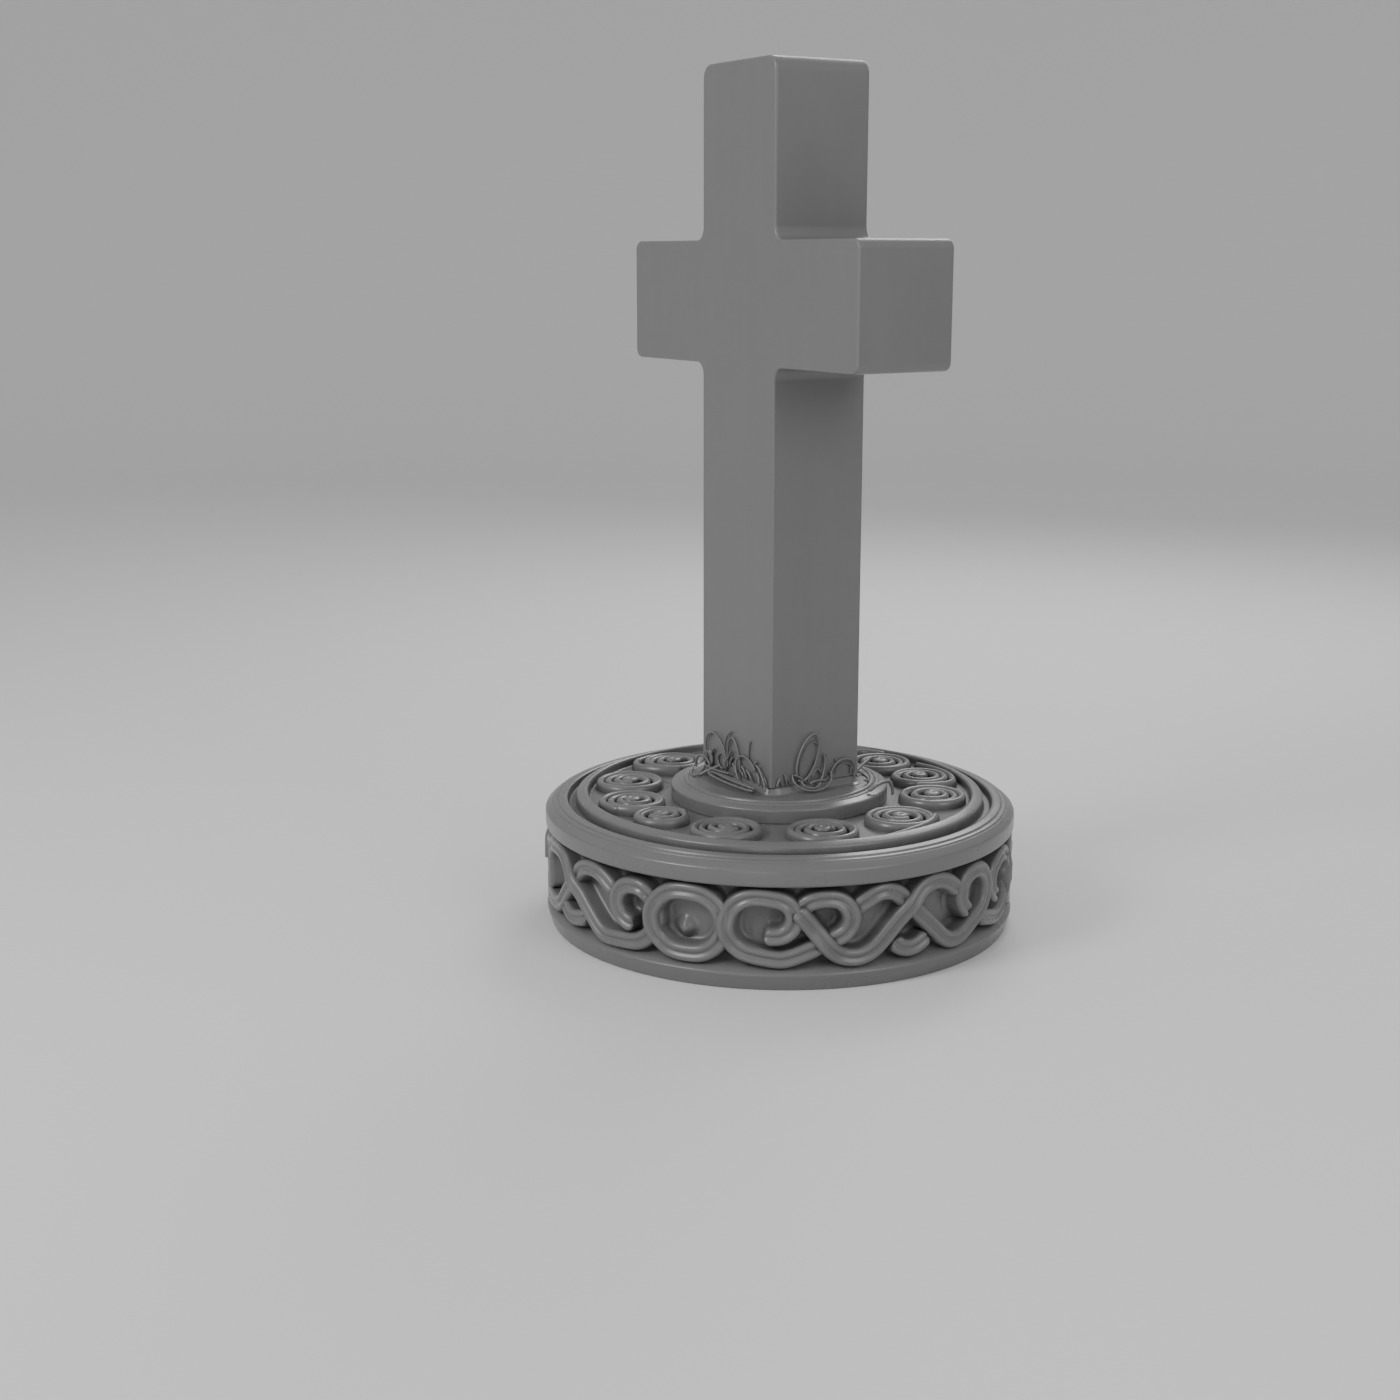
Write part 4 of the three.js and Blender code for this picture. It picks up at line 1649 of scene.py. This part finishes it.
@dataclass
class Studio:
    """A pale floor that sweeps up all round, soft lights, and the camera."""

    floor_radius: float = 7.0
    sweep_radius: float = 3.0
    wall_height: float = 6.0
    floor_tone: float = 0.72
    camera_place: tuple[float, float, float] = (2.731, -1.806, 1.1)
    heading: float = 1.02762
    tilt: float = 0.21926
    focal_pixels: float = 1986.757
    image_pixels: float = 1400.0
    sensor: float = 36.0

    def build(self) -> None:
        """Makes the floor, the lights and the camera."""
        self.floor()
        self.light("key_light", (0.3, -4.1, 3.0), 1.5, 108.0)
        self.light("fill_light", (4.0, 0.6, 2.6), 2.0, 46.0)
        self.light("low_light", (3.2, -2.9, 0.6), 0.6, 14.0)
        self.light("back_light", (-2.2, 2.6, 3.0), 1.8, 72.0)
        self.air()
        self.camera()

    def floor(self) -> None:
        """The pale floor with its swept edge."""
        angles = np.linspace(0, math.pi / 2, 13)
        arc = [
            (self.floor_radius + self.sweep_radius * math.sin(a), self.sweep_radius * (1 - math.cos(a)))
            for a in angles
        ]
        rows = [(self.floor_radius * s, 0.0) for s in (0.1, 0.3, 0.6)] + arc
        rows.append((self.floor_radius + self.sweep_radius, self.wall_height))
        facets = 96
        turn = np.arange(facets) * math.tau / facets
        points = [(r * math.cos(a), r * math.sin(a), z) for r, z in rows for a in turn]
        faces = [tuple(range(facets))]
        for i in range(len(rows) - 1):
            for j in range(facets):
                k = (j + 1) % facets
                faces.append((i * facets + j, (i + 1) * facets + j, (i + 1) * facets + k, i * facets + k))
        mesh = bpy.data.meshes.new("floor")
        mesh.from_pydata(points, [], faces)
        for face in mesh.polygons:
            face.use_smooth = True
        body = bpy.data.objects.new("floor", mesh)
        bpy.context.scene.collection.objects.link(body)
        pale = bpy.data.materials.new("pale_floor")
        pale.use_nodes = True
        shader = pale.node_tree.nodes["Principled BSDF"]
        shader.inputs["Base Color"].default_value = (self.floor_tone,) * 3 + (1.0,)
        shader.inputs["Roughness"].default_value = 0.8
        mesh.materials.append(pale)

    def light(self, name: str, place: tuple[float, float, float], size: float, power: float) -> None:
        """A square soft light that looks at the middle of the memorial.

        Args:
            name: The light's name.
            place: Where it stands, in metres.
            size: The length of its side, in metres.
            power: Its power in watts.
        """
        lamp = bpy.data.lights.new(name, "AREA")
        lamp.energy = power
        lamp.size = size
        body = bpy.data.objects.new(name, lamp)
        body.location = place
        aim = Vector((0, 0, 0.5)) - Vector(place)
        body.rotation_euler = aim.to_track_quat("-Z", "Y").to_euler()
        bpy.context.scene.collection.objects.link(body)

    def air(self) -> None:
        """Even pale light from all round."""
        world = bpy.data.worlds.new("air")
        world.use_nodes = True
        sky = world.node_tree.nodes["Background"]
        sky.inputs["Color"].default_value = (0.9, 0.9, 0.9, 1.0)
        sky.inputs["Strength"].default_value = 0.68
        bpy.context.scene.world = world

    def camera(self) -> None:
        """The camera at the photograph's place."""
        lens = bpy.data.cameras.new("camera")
        lens.sensor_width = self.sensor
        lens.lens = self.focal_pixels / self.image_pixels * self.sensor
        body = bpy.data.objects.new("camera", lens)
        c, s = math.cos(self.tilt), math.sin(self.tilt)
        ahead = Vector((-math.sin(self.heading) * c, math.cos(self.heading) * c, -s))
        right = Vector((math.cos(self.heading), math.sin(self.heading), 0.0))
        up = right.cross(ahead)
        turn = Matrix((right, up, -ahead)).transposed().to_4x4()
        body.matrix_world = Matrix.Translation(self.camera_place) @ turn
        bpy.context.scene.collection.objects.link(body)
        bpy.context.scene.camera = body


def dress(
    body: bpy.types.Object, finish: bpy.types.Material, crease: float, node: str = ""
) -> None:
    """Gives a body its finish and lets it stand for a node.

    Args:
        body: The finished form.
        finish: The material.
        crease: Edges sharper than this many degrees stay sharp.
        node: The node that it stands for, or nothing for a piece that adds to one.
    """
    smoothed(body, crease)
    body.data.materials.clear()
    body.data.materials.append(finish)
    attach(body, "root")
    if node:
        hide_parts(node)
    triangles = sum(len(face.vertices) - 2 for face in body.data.polygons)
    LOG.info("%s: %d triangles, finish %s", body.name, triangles, finish.name)


def main() -> None:
    """Builds the memorial piece by piece and the studio round it."""
    logging.basicConfig(level=logging.INFO, format="%(name)s: %(message)s")
    build_grain_group()
    build_hollow_group()
    build_wear_group()
    # The dirt tone and amount of each finish paint hollows darker, as dirt and as painted shade.
    cross_finish = StoneFinish(
        name="dressed_grey_stone", tone=0.15, dirt_and_shade_tone=0.07, worn_tone=0.19, polish=0.32,
        weathered=0.44, contrast=0.14, dirt_and_shade=0.4, wear=0.4, grain_depth=0.0005, cloud_scale=6.0, streaks=0.012,
    ).material()
    plinth_finish = StoneFinish(
        name="carved_grey_stone", tone=0.14, dirt_and_shade_tone=0.04, worn_tone=0.18, polish=0.26,
        weathered=0.36, contrast=0.12, dirt_and_shade=0.7, wear=0.4, grain_depth=0.0003, cloud_scale=9.0, streaks=0.0,
    ).material()

    plinth = Plinth()
    band = RibbonBand(plinth)
    half = band.shells()
    carving = united("plinth_carving", half + [shell.turned(math.pi) for shell in half])
    discs = united("plinth_discs", CoiledDiscs(plinth).shells())
    drum = plinth.drum().body("carved_plinth")
    plinth_body = fused(fused(drum, carving), discs)
    dress(plinth_body, plinth_finish, 42.0, "plinth")

    socle = Socle()
    socle_body = fused(turned(socle.profile(), socle.facets).body("stepped_socle"), socle.pad().body("pad"))
    dress(socle_body, plinth_finish, 40.0, "socle")

    stems_body = united("foot_stems", FootStems(socle).shells())
    dress(stems_body, cross_finish, 60.0)

    cross_body = Cross().shell().body("latin_cross")
    dress(cross_body, cross_finish, 50.0, "cross")
    weigh = cross_body.modifiers.new("flat faces", "WEIGHTED_NORMAL")
    weigh.keep_sharp = True

    Studio().build()


if __name__ == "__main__":
    main()
